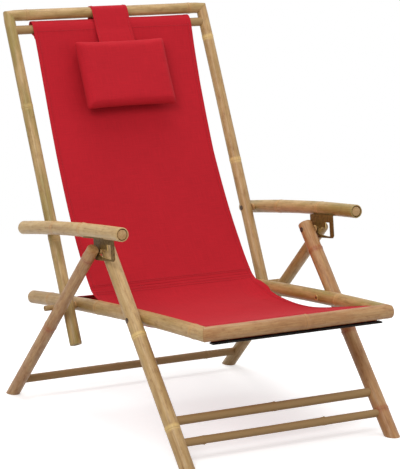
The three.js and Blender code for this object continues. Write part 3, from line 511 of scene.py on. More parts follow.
# Bamboo skin, dried, sanded at the nodes and thinly varnished: tan with fine fibre streaks and soft stains
def bamboo_skin(name, shade=1.0):
    colours = bpy.context.scene.recliner_bamboo
    material, tree, shader = new_material(name)
    place = add_node(tree, "ShaderNodeAttribute", {"attribute_name": "grain"}, output="Vector")
    scar, stain, band = parts_of(tree, "node_marks")
    warmth, green, redness = parts_of(tree, "culm_finish")
    names = ("straw", "tan", "umber", "olive", "rust", "wax")
    straw, tan, umber, olive, rust, wax = (rgba(getattr(colours, colour), shade) for colour in names)

    # Fibre bundles lie under 1 mm apart; soft blotches and specks are what shows from a step away
    streaks = stretched_noise(tree, place, 3.2, 90, 4)
    fibres = stretched_noise(tree, place, 0.9, 50, 2)
    fields = stretched_noise(tree, place, 30, 110, 3)
    blotches = stretched_noise(tree, place, 9, 24, 4, 0.6)
    specks = stretched_noise(tree, place, 1.8, 3.4, 2)
    warm = warmth
    for pattern, strength in ((fields, 1.3), (blotches, 0.9)):
        swing = add_node(tree, "ShaderNodeMath", {"operation": "SUBTRACT"}, i0=pattern, i1=0.5)
        warm = add_node(tree, "ShaderNodeMath", {"operation": "MULTIPLY_ADD"}, i0=swing, i1=strength, i2=warm)
    skin = add_node(tree, "ShaderNodeMix", COLOUR_MIX, output=2, i0=warm, i6=straw, i7=tan)
    skin = layer(tree, skin, olive, fields, (0.42, 0.3), (0.6, 1), within=green)
    skin = layer(tree, skin, umber, streaks, (0.34, 0.3), (0.5, 0))
    skin = layer(tree, skin, straw, streaks, (0.55, 0), (0.72, 0.25))
    skin = layer(tree, skin, umber, blotches, (0.56, 0), (0.74, 0.4))
    skin = layer(tree, skin, umber, fibres, (0.36, 0.22), (0.5, 0))
    skin = layer(tree, skin, umber, specks, (0.66, 0), (0.73, 0.6))

    # Sanding the node flush leaves a rusty or a waxy band, a soft stain about it and a thin dark scar
    red_share = add_node(tree, "ShaderNodeMath", {"operation": "MULTIPLY"}, i0=redness, i1=0.3)
    stained = add_node(tree, "ShaderNodeMath", {"operation": "MULTIPLY"}, i0=stain, i1=red_share)
    skin = add_node(tree, "ShaderNodeMix", COLOUR_MIX, output=2, i0=stained, i6=skin, i7=rust)
    band_colour = add_node(tree, "ShaderNodeMix", COLOUR_MIX, output=2, i0=redness, i6=wax, i7=rust)
    skin = layer(tree, skin, band_colour, blotches, (0.35, 0.2625), (0.6, 0.75), within=band)
    skin = layer(tree, skin, umber, blotches, (0.35, 0.2), (0.6, 0.6), within=scar)

    relief = add_node(tree, "ShaderNodeMix", COLOUR_MIX, output=2, i0=0.35, i6=streaks, i7=fibres)
    gloss_stops = [(0.3, grey(0.42)), (0.7, grey(0.62))]
    dress(tree, shader, {
        "Base Color": skin,
        "Roughness": add_node(tree, "ShaderNodeValToRGB", stops=gloss_stops, Fac=blotches),
        "Normal": add_node(tree, "ShaderNodeBump", Height=relief, Strength=0.3, Distance=0.0005),
        "Coat Weight": 0.12,
        "Coat Roughness": 0.32,
    })
    return material


# Sawn bamboo: pale and dull, with the ends of the fibre bundles showing as brown dots
def bamboo_cut(name):
    colours = bpy.context.scene.recliner_bamboo
    material, tree, shader = new_material(name)
    place = add_node(tree, "ShaderNodeAttribute", {"attribute_name": "grain"}, output="Vector")
    dots = add_node(tree, "ShaderNodeTexVoronoi", output="Distance", Vector=place, Scale=per_metre(1.6))
    tint = stretched_noise(tree, place, 9, 9)
    stops = [(0.12, rgba(colours.umber, 0.7)), (0.4, rgba(colours.pith))]
    cut = add_node(tree, "ShaderNodeValToRGB", stops=stops, Fac=dots)
    dress(tree, shader, {
        "Base Color": layer(tree, cut, rgba(colours.tan), tint, (0.4, 0), (0.7, 0.55)),
        "Normal": add_node(tree, "ShaderNodeBump", Height=dots, Strength=0.4, Distance=0.0004),
        "Roughness": 0.82,
    })
    return material


# Turned softwood: pale and dry with straight grain
def turned_wood(name):
    colours = bpy.context.scene.recliner_bamboo
    material, tree, shader = new_material(name)
    place = add_node(tree, "ShaderNodeTexCoord", output="Object")
    grain = stretched_noise(tree, place, 2.4, 30)
    stops = [(0.35, rgba(colours.tan)), (0.62, rgba(colours.pith))]
    dress(tree, shader, {
        "Base Color": add_node(tree, "ShaderNodeValToRGB", stops=stops, Fac=grain),
        "Normal": add_node(tree, "ShaderNodeBump", Height=grain, Strength=0.4, Distance=0.0003),
        "Roughness": 0.68,
    })
    return material


# Stamped or turned steel under a thin lacquer or oxide: mottled, with faint rolling lines in the gloss
def coated_steel(name, base, light, roughness, metallic):
    material, tree, shader = new_material(name)
    place = add_node(tree, "ShaderNodeTexCoord", output="Object")
    mottle = stretched_noise(tree, place, 7, 7, 5, 0.6)
    rolled = stretched_noise(tree, place, 0.8, 18, 2)
    stops = [(0.32, rgba(linear(base))), (0.72, rgba(linear(light)))]
    gloss_stops = [(0.3, grey(roughness + 0.12)), (0.7, grey(roughness - 0.06))]
    dress(tree, shader, {
        "Base Color": add_node(tree, "ShaderNodeValToRGB", stops=stops, Fac=mottle),
        "Roughness": add_node(tree, "ShaderNodeValToRGB", stops=gloss_stops, Fac=mottle),
        "Normal": add_node(tree, "ShaderNodeBump", Height=rolled, Strength=0.25, Distance=0.0002),
        "Metallic": metallic,
    })
    return material


# Cotton canvas, piece-dyed and plain-woven: matt red with a soft bloom, flecked by uneven threads. Its
# threads really lie about 0.6 mm apart, too fine to show, and are drawn nearly twice as coarse
def woven_canvas(name):
    cloth = bpy.context.scene.recliner_canvas
    material, tree, shader = new_material(name)
    place = add_node(tree, "ShaderNodeAttribute", {"attribute_name": "cloth"}, output="Vector")
    waves_per_metre = per_metre(2 * cloth.thread_spacing * 1000) * math.tau / 20
    threads_over = []
    for direction in ("X", "Y"):
        wave = add_node(
            tree, "ShaderNodeTexWave", {"bands_direction": direction}, output="Fac", Vector=place,
            Scale=waves_per_metre,
        )
        threads_over.append(add_node(tree, "ShaderNodeMath", {"operation": "SUBTRACT"}, i0=wave, i1=0.5))
    warp, weft = threads_over
    weave = add_node(tree, "ShaderNodeMath", {"operation": "MULTIPLY"}, i0=warp, i1=weft)

    # Thick and thin yarns, 1.6 mm wide and 42 mm long, in the warp and in the weft
    yarns = []
    for scale in ((per_metre(1.6), per_metre(42), 1), (per_metre(42), per_metre(1.6), 1)):
        mapped = add_node(tree, "ShaderNodeMapping", Vector=place, Scale=scale)
        yarns.append(add_node(tree, "ShaderNodeTexNoise", output="Fac", Vector=mapped, Scale=1.0, Detail=2.0))
    slubs, picks = yarns
    threads = add_node(tree, "ShaderNodeMix", COLOUR_MIX, output=2, i0=0.5, i6=slubs, i7=picks)
    stops = [(0.36, rgba(cloth.red, 0.9)), (0.62, rgba(cloth.red, 1.07))]
    dyed = add_node(tree, "ShaderNodeValToRGB", stops=stops, Fac=threads)
    fade = add_node(tree, "ShaderNodeTexNoise", output="Fac", Vector=place, Scale=per_metre(160), Detail=3.0)
    bloom = add_node(tree, "ShaderNodeValToRGB", stops=[(0.35, grey(0.94)), (0.7, grey(1.0))], Fac=fade)
    multiply = {**COLOUR_MIX, "blend_type": "MULTIPLY"}
    relief = add_node(tree, "ShaderNodeMath", {"operation": "MULTIPLY_ADD"}, i0=threads, i1=0.5, i2=weave)
    dress(tree, shader, {
        "Base Color": add_node(tree, "ShaderNodeMix", multiply, output=2, i0=1.0, i6=dyed, i7=bloom),
        "Normal": add_node(tree, "ShaderNodeBump", Height=relief, Strength=0.2, Distance=0.0005),
        "Roughness": 0.88,
        "Specular IOR Level": 0.2,
        "Sheen Weight": 0.1,
        "Sheen Roughness": 0.45,
        "Sheen Tint": rgba(linear("ff8c90")),
    })
    return material


# Polyester sewing thread, twisted: a little glossier and darker than the cloth
def sewing_thread(name):
    cloth = bpy.context.scene.recliner_canvas
    material, tree, shader = new_material(name)
    place = add_node(tree, "ShaderNodeTexCoord", output="Object")
    twist = stretched_noise(tree, place, 1.2, 1.2, 2)
    stops = [(0.3, rgba(cloth.red_thread, 0.8)), (0.7, rgba(cloth.red_thread, 1.25))]
    dress(tree, shader, {
        "Base Color": add_node(tree, "ShaderNodeValToRGB", stops=stops, Fac=twist),
        "Roughness": 0.6,
    })
    return material


def made_of(name):
    """One of the materials, made the first time that a piece asks for it"""
    made = bpy.data.materials.get(name)
    if made:
        return made
    makers = {
        "varnished_bamboo": lambda: bamboo_skin(name),
        "smoked_bamboo": lambda: bamboo_skin(name, 0.72),
        "sawn_bamboo": lambda: bamboo_cut(name),
        "turned_softwood": lambda: turned_wood(name),
        "bronze_lacquered_steel": lambda: coated_steel(name, "523b0f", "7d5d22", 0.6, 0.3),
        # Bright golden lacquer: partly rubbed wear, partly a painted highlight along the brackets' window
        # edges
        "worn_lacquer_edge": lambda: coated_steel(name, "b39452", "d9be7c", 0.36, 0.6),
        "blackened_steel": lambda: coated_steel(name, "141311", "2b2926", 0.5, 0.4),
        "browned_steel": lambda: coated_steel(name, "3a2c20", "6a5442", 0.42, 0.7),
        "woven_canvas": lambda: woven_canvas(name),
        "sewing_thread": lambda: sewing_thread(name),
    }
    return makers[name]()


# Bamboo culms


def culm_rings(length, nodes, step, worn, lead, trail):
    """Heights of the rings along a culm, close together at its nodes and worn ends"""
    heights = {node + offset / 1000 for node in nodes for offset in NODE_RINGS_MM}
    count = max(2, round(length / step))
    for i in range(1, count):
        z = length * i / count
        if all(abs(z - node) > NODE_CLEARANCE for node in nodes):
            heights.add(z)
    low, high = -lead, length + trail
    for share in END_RING_SHARES:
        heights.add(low + worn * share)
        heights.add(high - worn * share)
    return sorted(h for h in heights if low <= h <= high)


def hump(distance, place, width):
    """Smooth rise to 1 at a place"""
    return np.exp(-(((distance - place) / width) ** 2))


def culm_surface(heights, turns, length, radii, nodes, settings, seed):
    """Radius of a culm's skin for each height and turn"""
    draw = random.Random(seed)
    z = np.array(heights)[:, None]
    turn = np.array(turns)[None, :]
    share = np.clip(z / length, 0, 1)
    radius = radii[0] + (radii[1] - radii[0]) * share + 0 * turn
    oval = draw.uniform(*OVAL_SHARE_RANGE)
    radius = radius * (1 + oval * np.cos(2 * (turn - draw.uniform(0, math.pi))))
    for k in LUMPS_ROUND:
        height = draw.uniform(*LUMP_HEIGHT_RANGE)
        start = draw.uniform(*LUMP_START_RANGE)
        twist = draw.uniform(*LUMP_TWIST_RANGE)
        radius += height * np.cos(k * turn + start + z * twist)
    marks = [-NODE_PAST_END, *nodes, length + NODE_PAST_END]
    for low, high in zip(marks, marks[1:]):
        t = np.clip((z - low) / (high - low), 0, 1)
        radius -= settings.waist * np.sin(math.pi * t) ** 2
    bud = draw.uniform(0, math.tau)
    for node in nodes:
        d = (z - node) * 1000
        tilt = SCAR_TILT_MM * np.cos(turn - bud)
        radius += settings.scar * hump(d, tilt, SCAR_WIDTH_MM)
        radius += settings.swelling * hump(d, SWELLING_AT_MM, SWELLING_WIDTH_MM)
        radius -= DIP_SHARE * settings.scar * hump(d, DIP_AT_MM, DIP_WIDTH_MM)
        away = np.angle(np.exp(1j * (turn - bud)))
        above = np.clip((d - FURROW_FROM_MM) / FURROW_START_MM, 0, 1)
        above = above * np.exp(-np.clip(d, 0, None) / FURROW_FADE_MM)
        radius -= settings.groove * above * hump(away, 0, FURROW_WIDTH_RAD)
        bud_across = hump(away * radii[0] * 1000, 0, BUD_WIDTH_MM)
        radius += BUD_HEIGHT * hump(d, BUD_AT_MM, BUD_LENGTH_MM) * bud_across
        bud += math.pi
    return radius


def round_mitre(point, corner, outward, radius):
    """Softens the point of a mitred corner"""
    reach = (point - corner).dot(outward)
    limit = MITRE_SOFT_FROM_SHARE * radius
    if reach > limit:
        point = point - outward * ((reach - limit) * MITRE_SOFT_SHARE)
    return point


def culm(name, body, start, end, lean, radii, slot="bamboo", **options):
    """One culm: lathed rings, cut on planes, drilled, and marked with its own coordinates for the grain"""
    settings = bpy.context.scene.recliner_bamboo
    length = (end - start).length
    nodes = [share * length for share in NODE_SHARES.get(name, [])]
    bow = options.get("bow", 0)
    lead, trail = options.get("lead", 0), options.get("trail", 0)
    low, high = -lead, length + trail
    worn = options.get("worn", settings.worn_edge)
    basis = frame_along(start, end, lean)
    heights = culm_rings(length, nodes, options.get("step", settings.step), worn, lead, trail)
    sides = settings.sides if radii[0] > THIN_CULM_RADIUS else settings.sides * 3 // 4
    turns = [math.tau * k / sides for k in range(sides)]
    seed = sum(ord(letter) * (i + 3) for i, letter in enumerate(name))
    surface = culm_surface(heights, turns, length, radii, nodes, settings, seed)

    # Each ring is a height and the radius at each turn; the worn ends draw in
    rings = []
    for row, height in zip(surface, heights):
        end_gap = min(height - low, high - height)
        if end_gap < worn:
            row = row - worn * (1 - math.sqrt(1 - (1 - end_gap / worn) ** 2))
        rings.append((height, row))
    foot_bore = options.get("foot_bore", 0) * np.ones(sides)
    tip_bore = options.get("tip_bore", 0) * np.ones(sides)
    if "foot_bore" in options:
        rings = [(low + BORE_DEPTH, foot_bore * BORE_TAPER_SHARE), (low, foot_bore), *rings]
    if "tip_bore" in options:
        rings = [*rings, (high, tip_bore), (high - BORE_DEPTH, tip_bore * BORE_TAPER_SHARE)]

    bm = bmesh.new()
    grid = []
    for height, row in rings:
        lift = bowed(height / length, bow)
        spots = [Vector((r * math.cos(t) + lift, r * math.sin(t), height)) for r, t in zip(row, turns)]
        grid.append([bm.verts.new(start + basis @ spot) for spot in spots])
    for below, above in zip(grid, grid[1:]):
        for k in range(sides):
            m = (k + 1) % sides
            bm.faces.new((below[k], below[m], above[m], above[k]))
    bm.faces.new(list(reversed(grid[0])))
    bm.faces.new(grid[-1])
    for point, normal in options.get("cuts", []):
        everything = [*bm.verts, *bm.edges, *bm.faces]
        cut = bmesh.ops.bisect_plane(
            bm, geom=everything, plane_co=point, plane_no=normal, clear_outer=True, dist=CUT_PRECISION
        )
        rim = [item for item in cut["geom_cut"] if isinstance(item, bmesh.types.BMEdge)]
        bmesh.ops.contextual_create(bm, geom=rim)
    for corner, outward in options.get("corners", []):
        for vert in bm.verts:
            if (vert.co - corner).length < MITRE_REACH_RADII * radii[0]:
                vert.co = round_mitre(vert.co, corner, outward, radii[0])
    bmesh.ops.recalc_face_normals(bm, faces=bm.faces)
    mesh = mesh_from(bm, name)
    if "holes" in options:
        mesh = drilled(mesh, options["holes"])
    mark_culm(name, mesh, basis, start, length, bow, radii, nodes, seed)
    mesh.materials.clear()
    mesh.materials.append(made_of("varnished_bamboo" if slot == "bamboo" else "smoked_bamboo"))
    mesh.materials.append(made_of("sawn_bamboo"))
    smooth(mesh, "culm")
    add_piece("dressed_" + name, mesh, body, slot, name)


def drilled(mesh, holes):
    """Takes round holes out of a mesh; each is start, end and radius"""
    bm = bmesh.new()
    for start, end, radius in holes:
        move = Matrix.Translation((start + end) / 2) @ frame_along(start, end, UP)
        bmesh.ops.create_cone(
            bm, cap_ends=True, segments=DRILL_SIDES, radius1=radius, radius2=radius,
            depth=(end - start).length, matrix=move,
        )
    cutter_mesh = mesh_from(bm, "drill")
    body = bpy.data.objects.new("drilled", mesh)
    cutter = bpy.data.objects.new("drill", cutter_mesh)
    for item in (body, cutter):
        bpy.context.scene.collection.objects.link(item)
    modifier = body.modifiers.new("drill", "BOOLEAN")
    modifier.operation = "DIFFERENCE"
    modifier.solver = "EXACT"
    modifier.object = cutter
    bpy.context.view_layer.update()
    result = evaluated_mesh(body)
    for item in (body, cutter):
        bpy.data.objects.remove(item)
    bpy.data.meshes.remove(cutter_mesh)
    return result


def mark_culm(name, mesh, basis, origin, length, bow, radii, nodes, seed):
    """Stores the grain coordinates, the marks of the nodes and the finish, and tells skin from sawn faces"""
    back = basis.inverted()
    *tone, strength = FINISHES.get(name, PLAIN_FINISH)

    def straightened(point):
        local = back @ (point - origin)
        local.x -= bowed(local.z / length, bow)
        return local

    grain, marks = [], []
    for vert in mesh.vertices:
        local = straightened(vert.co)
        grain.append((local.x + seed * GRAIN_SHIFT, local.y, local.z))
        scar = stain = band = 0
        for node in nodes:
            d = (local.z - node) * 1000
            scar += math.exp(-((d / SCAR_WIDTH_MM) ** 2))
            stain += math.exp(-(((d - STAIN_AT_MM) / STAIN_WIDTH_MM) ** 2))
            band += math.exp(-(((d - BAND_AT_MM) / BAND_WIDTH_MM) ** 4))
        marks.append((scar, stain * strength, band * strength))
    store(mesh, "grain", grain)
    store(mesh, "node_marks", marks)
    store(mesh, "culm_finish", [tone] * len(marks))
    for face in mesh.polygons:
        centre = straightened(face.center)
        radial = Vector((centre.x, centre.y, 0))
        share = min(max(centre.z / length, 0), 1)
        skin = radii[0] + (radii[1] - radii[0]) * share
        facing = (back @ face.normal).dot(radial.normalized())
        is_skin = radial.length > SKIN_DEPTH_SHARE * skin and facing > SKIN_FACING
        face.material_index = 0 if is_skin else 1


def across(s, from_x, to_x, p, radius):
    """A sideways hole on one side of the chair"""
    return at(s * from_x, p), at(s * to_x, p), radius


def blind_hole(s, inner_x, p):
    """A bolt's hole from the inner side of a culm, not right through it"""
    return across(s, inner_x - BLIND_OVERRUN, inner_x + BLIND_HOLE_DEPTH, p, BOLT_HOLE_RADIUS)


def mitre_cut(corner, kept, other):
    """Plane that halves a corner, and the way its point looks out"""
    normal = (kept - other).normalized()
    return (corner + normal * (TOUCH_GAP / 2), -normal)


def outward_of(kept, other):
    """The way that a corner's point looks"""
    return -(kept + other).normalized()


def build_seat_frame():
    """Rails, front bar and the bars inside the pockets"""
    inner_x, outer_x = RAIL_X - RAIL_RADIUS, RAIL_X + RAIL_RADIUS
    for s in (LEFT, RIGHT):
        corner = at(s * RAIL_X, RAIL_FRONT)
        inward = Vector((-s, 0, 0))
        culm(
            f"seat_rail_{SIDE_NAME[s]}", "seat", corner, at(s * RAIL_X, RAIL_REAR), UP,
            (RAIL_RADIUS, RAIL_RADIUS),
            bow=RAIL_BOW,
            lead=2 * RAIL_RADIUS,
            tip_bore=RAIL_RADIUS * BORE_SHARE,
            cuts=[mitre_cut(corner, RAIL_DIR, inward)],
            corners=[(corner, outward_of(RAIL_DIR, inward))],
            holes=[
                across(s, inner_x - DRILL_OVERRUN, outer_x + DRILL_OVERRUN, BACK_PIVOT, ROD_HOLE_RADIUS),
                across(s, inner_x - DRILL_OVERRUN, inner_x + HEAD_SEAT_DEPTH, LEG_PIVOT, HEAD_HOLE_RADIUS),
            ],
        )
    left_corner, right_corner = at(-RAIL_X, RAIL_FRONT), at(RAIL_X, RAIL_FRONT)
    culm(
        "front_bar", "seat", left_corner, right_corner, UP, (RAIL_RADIUS, RAIL_RADIUS),
        lead=2 * RAIL_RADIUS,
        trail=2 * RAIL_RADIUS,
        cuts=[mitre_cut(left_corner, SIDEWAYS, RAIL_DIR), mitre_cut(right_corner, -SIDEWAYS, RAIL_DIR)],
        corners=[
            (left_corner, outward_of(RAIL_DIR, SIDEWAYS)),
            (right_corner, outward_of(RAIL_DIR, -SIDEWAYS)),
        ],
    )
    crossbar("front_sling_bar", "seat", FRONT_SLING_BAR_RADIUS)
    crossbar("rear_sling_bar", "seat", REAR_SLING_BAR_RADIUS)


def crossbar(name, body, radius, **options):
    """A thin culm across the chair, as long as its packed solid"""
    low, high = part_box(name)
    line = in_side_view(name)
    culm(
        name, body, at(low.x, line), at(high.x, line), UP, (radius, radius),
        slot="smoked_bamboo", worn=CROSSBAR_WORN_EDGE, **options,
    )


def build_legs():
    """Front legs and rear legs with their crossbars"""
    floor = [(Vector((0, 0, 0)), -UP)]
    leg_x = middle("front_leg_right").x
    inner_x, outer_x = leg_x - FRONT_LEG_RADIUS, leg_x + FRONT_LEG_RADIUS
    head_x = outer_x - HEAD_SEAT_DEPTH - TOUCH_GAP
    foot = on_floor(PIN, FRONT_LEG_DIR, FRONT_LEG_RADIUS)
    tip = PIN + FRONT_LEG_DIR * FRONT_LEG_TIP
    for s in (LEFT, RIGHT):
        culm(
            f"front_leg_{SIDE_NAME[s]}", "front_legs", at(s * leg_x, foot), at(s * leg_x, tip), BACKWARD,
            (FRONT_LEG_RADIUS, FRONT_LEG_RADIUS),
            tip_bore=FRONT_LEG_RADIUS * BORE_SHARE / 2,
            cuts=floor,
            holes=[
                across(s, inner_x - DRILL_OVERRUN, outer_x + DRILL_OVERRUN, LEG_PIVOT, BOLT_HOLE_RADIUS),
                across(s, head_x, outer_x + DRILL_OVERRUN, LEG_PIVOT, HEAD_HOLE_RADIUS),
            ],
        )
    crossbar("front_crossbar_upper", "front_legs", UPPER_CROSSBAR_RADIUS)
    crossbar("front_crossbar_lower", "front_legs", LOWER_CROSSBAR_RADIUS)

    leg_x = middle("rear_leg_right").x
    inner_x = leg_x - REAR_LEG_RADII[0]
    foot = on_floor(PIN, REAR_LEG_DIR, REAR_LEG_RADII[0])
    tip = PIN - REAR_LEG_DIR * REAR_LEG_TIP
    for s in (LEFT, RIGHT):
        culm(
            f"rear_leg_{SIDE_NAME[s]}", "rear_legs", at(s * leg_x, foot), at(s * leg_x, tip), BACKWARD,
            REAR_LEG_RADII,
            worn=REAR_LEG_WORN_EDGE,
            cuts=floor,
            holes=[blind_hole(s, inner_x, PIN)],
        )
    crossbar("rear_crossbar", "rear_legs", REAR_CROSSBAR_RADIUS)


def build_back_frame():
    """Uprights, top rail, the bar in the top pocket and the pivot rod"""
    upright_x = middle("upright_right").x
    inner_x, outer_x = upright_x - UPRIGHT_RADII[0], upright_x + UPRIGHT_RADII[0]
    foot = BACK_PIVOT - BACK_DIR * BACK_TAIL
    for s in (LEFT, RIGHT):
        corner = at(s * upright_x, BACK_TOP)
        inward = Vector((-s, 0, 0))
        culm(
            f"upright_{SIDE_NAME[s]}", "back", at(s * upright_x, foot), corner, BACKWARD, UPRIGHT_RADII,
            trail=2 * UPRIGHT_RADII[1],
            foot_bore=UPRIGHT_RADII[0] * BORE_SHARE,
            cuts=[mitre_cut(corner, -BACK_DIR, inward)],
            corners=[(corner, outward_of(-BACK_DIR, inward))],
            holes=[
                across(s, inner_x - DRILL_OVERRUN, outer_x + DRILL_OVERRUN, BACK_PIVOT, ROD_HOLE_RADIUS),
                across(s, inner_x - DRILL_OVERRUN, outer_x + DRILL_OVERRUN, ARM_PIVOT, BOLT_HOLE_RADIUS),
                across(s, inner_x - DRILL_OVERRUN, inner_x + HEAD_SEAT_DEPTH, ARM_PIVOT, HEAD_HOLE_RADIUS),
            ],
        )
    left_corner, right_corner = at(-upright_x, BACK_TOP), at(upright_x, BACK_TOP)
    culm(
        "top_rail", "back", left_corner, right_corner, UP, (UPRIGHT_RADII[1], UPRIGHT_RADII[1]),
        lead=2 * UPRIGHT_RADII[1],
        trail=2 * UPRIGHT_RADII[1],
        cuts=[mitre_cut(left_corner, SIDEWAYS, -BACK_DIR), mitre_cut(right_corner, -SIDEWAYS, -BACK_DIR)],
        corners=[
            (left_corner, outward_of(-BACK_DIR, SIDEWAYS)),
            (right_corner, outward_of(-BACK_DIR, -SIDEWAYS)),
        ],
    )
    crossbar("top_sling_bar", "back", TOP_BAR_RADIUS)
    bore = PIVOT_ROD_RADIUS * BORE_SHARE
    crossbar("pivot_rod", "back_pivot", PIVOT_ROD_RADIUS, foot_bore=bore, tip_bore=bore)


def armrest_ends():
    """Rear and front end of the armrests' axis in the side view"""
    length = ARMREST_TAIL + (PIN - ARM_PIVOT).dot(ARM_DIR) + ARMREST_AHEAD_OF_PIN
    lift = bowed(ARMREST_TAIL / length, ARMREST_BOW)
    rear = ARM_PIVOT - ARM_DIR * ARMREST_TAIL - ARM_UP * lift
    return rear, rear + ARM_DIR * length


def build_armrests():
    """Armrests, each with a bore at both ends and a disc set back in the front one"""
    arm_x = middle("armrest_right").x
    rear, front = armrest_ends()
    for s in (LEFT, RIGHT):
        culm(
            f"armrest_{SIDE_NAME[s]}", f"{SIDE_NAME[s]}_arm", at(s * arm_x, rear), at(s * arm_x, front),
            UP, (ARMREST_RADIUS, ARMREST_RADIUS),
            bow=ARMREST_BOW,
            foot_bore=ARMREST_RADIUS * BORE_SHARE,
            tip_bore=ARMREST_RADIUS * ARMREST_BORE_SHARE,
            holes=[blind_hole(s, arm_x - ARMREST_RADIUS, ARM_PIVOT)],
        )
        build_plug(s, arm_x, rear, front)


def build_plug(s, arm_x, rear, front):
    """Disc of bamboo set back in an armrest's front end, along the end's own slope"""
    depth = PLUG_SETBACK + PLUG_DEPTH
    sag = bowed(1 - depth / (front - rear).length, ARMREST_BOW)
    radius = ARMREST_RADIUS * ARMREST_BORE_SHARE * BORE_TAPER_SHARE - 2 * TOUCH_GAP
    tip = front - ARM_DIR * PLUG_SETBACK
    tail = front - ARM_DIR * depth + ARM_UP * sag
    culm(
        f"armrest_plug_{SIDE_NAME[s]}", f"{SIDE_NAME[s]}_arm", at(s * arm_x, tail), at(s * arm_x, tip),
        UP, (radius, radius), worn=PLUG_WORN_EDGE, step=PLUG_STEP,
    )


# Canvas


def bezier(start, start_dir, start_handle, end, end_dir, end_handle, steps):
    """Points of a cubic curve in the side view"""
    a = start + start_dir * start_handle
    b = end - end_dir * end_handle
    points = []
    for i in range(steps + 1):
        t = i / steps
        u = 1 - t
        points.append(start * u**3 + a * (3 * u * u * t) + b * (3 * u * t * t) + end * t**3)
    return points


def arc(centre, radius, from_deg, to_deg, steps):
    """Points round a bar in the side view, angles counted up from straight back"""
    return [centre + heading(from_deg + (to_deg - from_deg) * i / steps) * radius for i in range(steps + 1)]


# Facets of the packed pockets, whose flats lie inside their radius
POCKET_FACETS = 14


def pocket_radius(bar_radius):
    """Radius of the cloth's right side round a bar"""
    cloth = bpy.context.scene.recliner_canvas
    room = (cloth.pocket_wall - cloth.thickness) / 2
    return (bar_radius + TOUCH_GAP) / math.cos(math.pi / POCKET_FACETS) + cloth.pocket_wall - room


def running_lengths(points):
    """Distance of each point of a line from its first, along the line"""
    lengths = [0]
    for a, b in zip(points, points[1:]):
        lengths.append(lengths[-1] + (b - a).length)
    return lengths


def resampled(points, step):
    """The same line in equal steps, and its length"""
    lengths = running_lengths(points)
    count = max(2, round(lengths[-1] / step))
    result = []
    k = 0
    for i in range(count + 1):
        target = lengths[-1] * i / count
        while k < len(points) - 2 and lengths[k + 1] < target:
            k += 1
        span = lengths[k + 1] - lengths[k]
        t = (target - lengths[k]) / span if span else 0
        result.append(points[k].lerp(points[k + 1], min(max(t, 0), 1)))
    return result, lengths[-1]


def line_normals(points):
    """The right side's direction at each point of a line"""
    normals = []
    for i in range(len(points)):
        ahead = points[min(i + 1, len(points) - 1)]
        behind = points[max(i - 1, 0)]
        normals.append(square((ahead - behind).normalized()))
    return normals


# The cloth's edges: metres, the columns between them and how steeply an edge curls up
HEM_STEP = 0.0008
EDGE_STEP = 0.0005
HEM_MARGIN = 0.012
INNER_COLUMNS = 22
PANEL_STEP = 0.008
CLOTH_OFF_RAIL = 0.001
CLOTH_OVER_RAIL = 0.0034
CURL_FALLOFF = 1.5

# Ripples of slack cloth, slow and finer: turns per metre across and along, share and place in the noise
RIPPLES = ((11, 2.2, 1, 3.1), (26, 5, 0.5, 7.7))
RIPPLE_FADE = 0.03
RIPPLE_AT_EDGE = 0.3

# Stitches: the loops of one as place along it, thickness and height, and the rows of them
STITCH_SIDES = 5
STITCH_LOOPS = ((-0.5, 0.35, -0.5), (-0.28, 1, 0.1), (0.28, 1, 0.1), (0.5, 0.35, -0.5))
STITCH_ROW_STEPS = 48
STITCH_ROW_INSET = 0.003
HEM_STITCH_SHARE = 0.78


def panel_columns(half, hem):
    """Places across a panel, close together at the two hems"""
    fold = half - hem
    hem_places = [fold - HEM_STEP, fold, fold + HEM_STEP, half - hem / 2]
    outer = [*hem_places, half - 2 * HEM_STEP, half - EDGE_STEP, half]
    reach = outer[0] - HEM_MARGIN
    inner = [reach * (2 * i / INNER_COLUMNS - 1) for i in range(INNER_COLUMNS + 1)]
    return [*[-x for x in reversed(outer)], *inner, *outer]


# Left and right edge of the slings at distances from the crease, in metres
BACK_EDGES = ((0, -0.2298, 0.2392), (0.1, -0.2297, 0.2375), (0.2, -0.2297, 0.2335), (0.35, -0.2295, 0.2285),
              (0.54, -0.228, 0.2305), (0.64, -0.228, 0.2335), (0.7, -0.229, 0.2365))
SEAT_EDGES = ((0, -0.2298, 0.2392), (0.03, -0.2297, 0.238), (0.06, -0.229, 0.235), (0.09, -0.228, 0.2305),
              (0.12, -0.2274, 0.2280), (0.16, -0.2274, 0.2274))

# How far the seat's edges curl up at distances from the crease
SEAT_CURL = ((0, 0), (0.04, 0.009), (0.08, 0.0135), (0.117, 0.0135), (0.155, 0.0075), (0.195, 0.0045),
             (0.24, 0.0025), (0.32, 0))


def flat_place(x, point, normal, run, height):
    """Sets a place of a panel (across, point and direction along, height) straight across the chair"""
    return at(x, point + normal * height)


def sling_shape(half, edges, curl=((0, 0),)):
    """Same for a sling: stretched to its edges, which curl up and lie over the rails"""
    runs, lefts, rights = zip(*edges)
    curl_runs, curls = zip(*curl)
    strip = bpy.context.scene.recliner_canvas.edge_lift

    def place(x, point, normal, run, height):
        left, right = float(np.interp(run, runs, lefts)), float(np.interp(run, runs, rights))
        spot = at(left + (x + half) / (2 * half) * (right - left), point + normal * height)
        rise = float(np.interp(run, curl_runs, curls))
        if rise:
            rise = max(rise, over_rail(right if x > 0 else left, point))
        spot.z += rise * max(0, 1 - (half - abs(x)) / strip) ** CURL_FALLOFF
        return spot

    return place


def over_rail(x, point):
    """Height that cloth at this place needs to lie on the rail beside it"""
    run = (point - RAIL_FRONT).dot(RAIL_DIR)
    axis = RAIL_FRONT + RAIL_DIR * run + square(RAIL_DIR) * bowed(run / RAIL_LENGTH, RAIL_BOW)
    gap = abs(x) - RAIL_X
    reach = RAIL_RADIUS + CLOTH_OFF_RAIL
    if abs(gap) >= reach:
        return 0
    return max(0, axis.z + math.sqrt(reach**2 - gap**2) + 2 * TOUCH_GAP - point.z + CLOTH_OVER_RAIL)


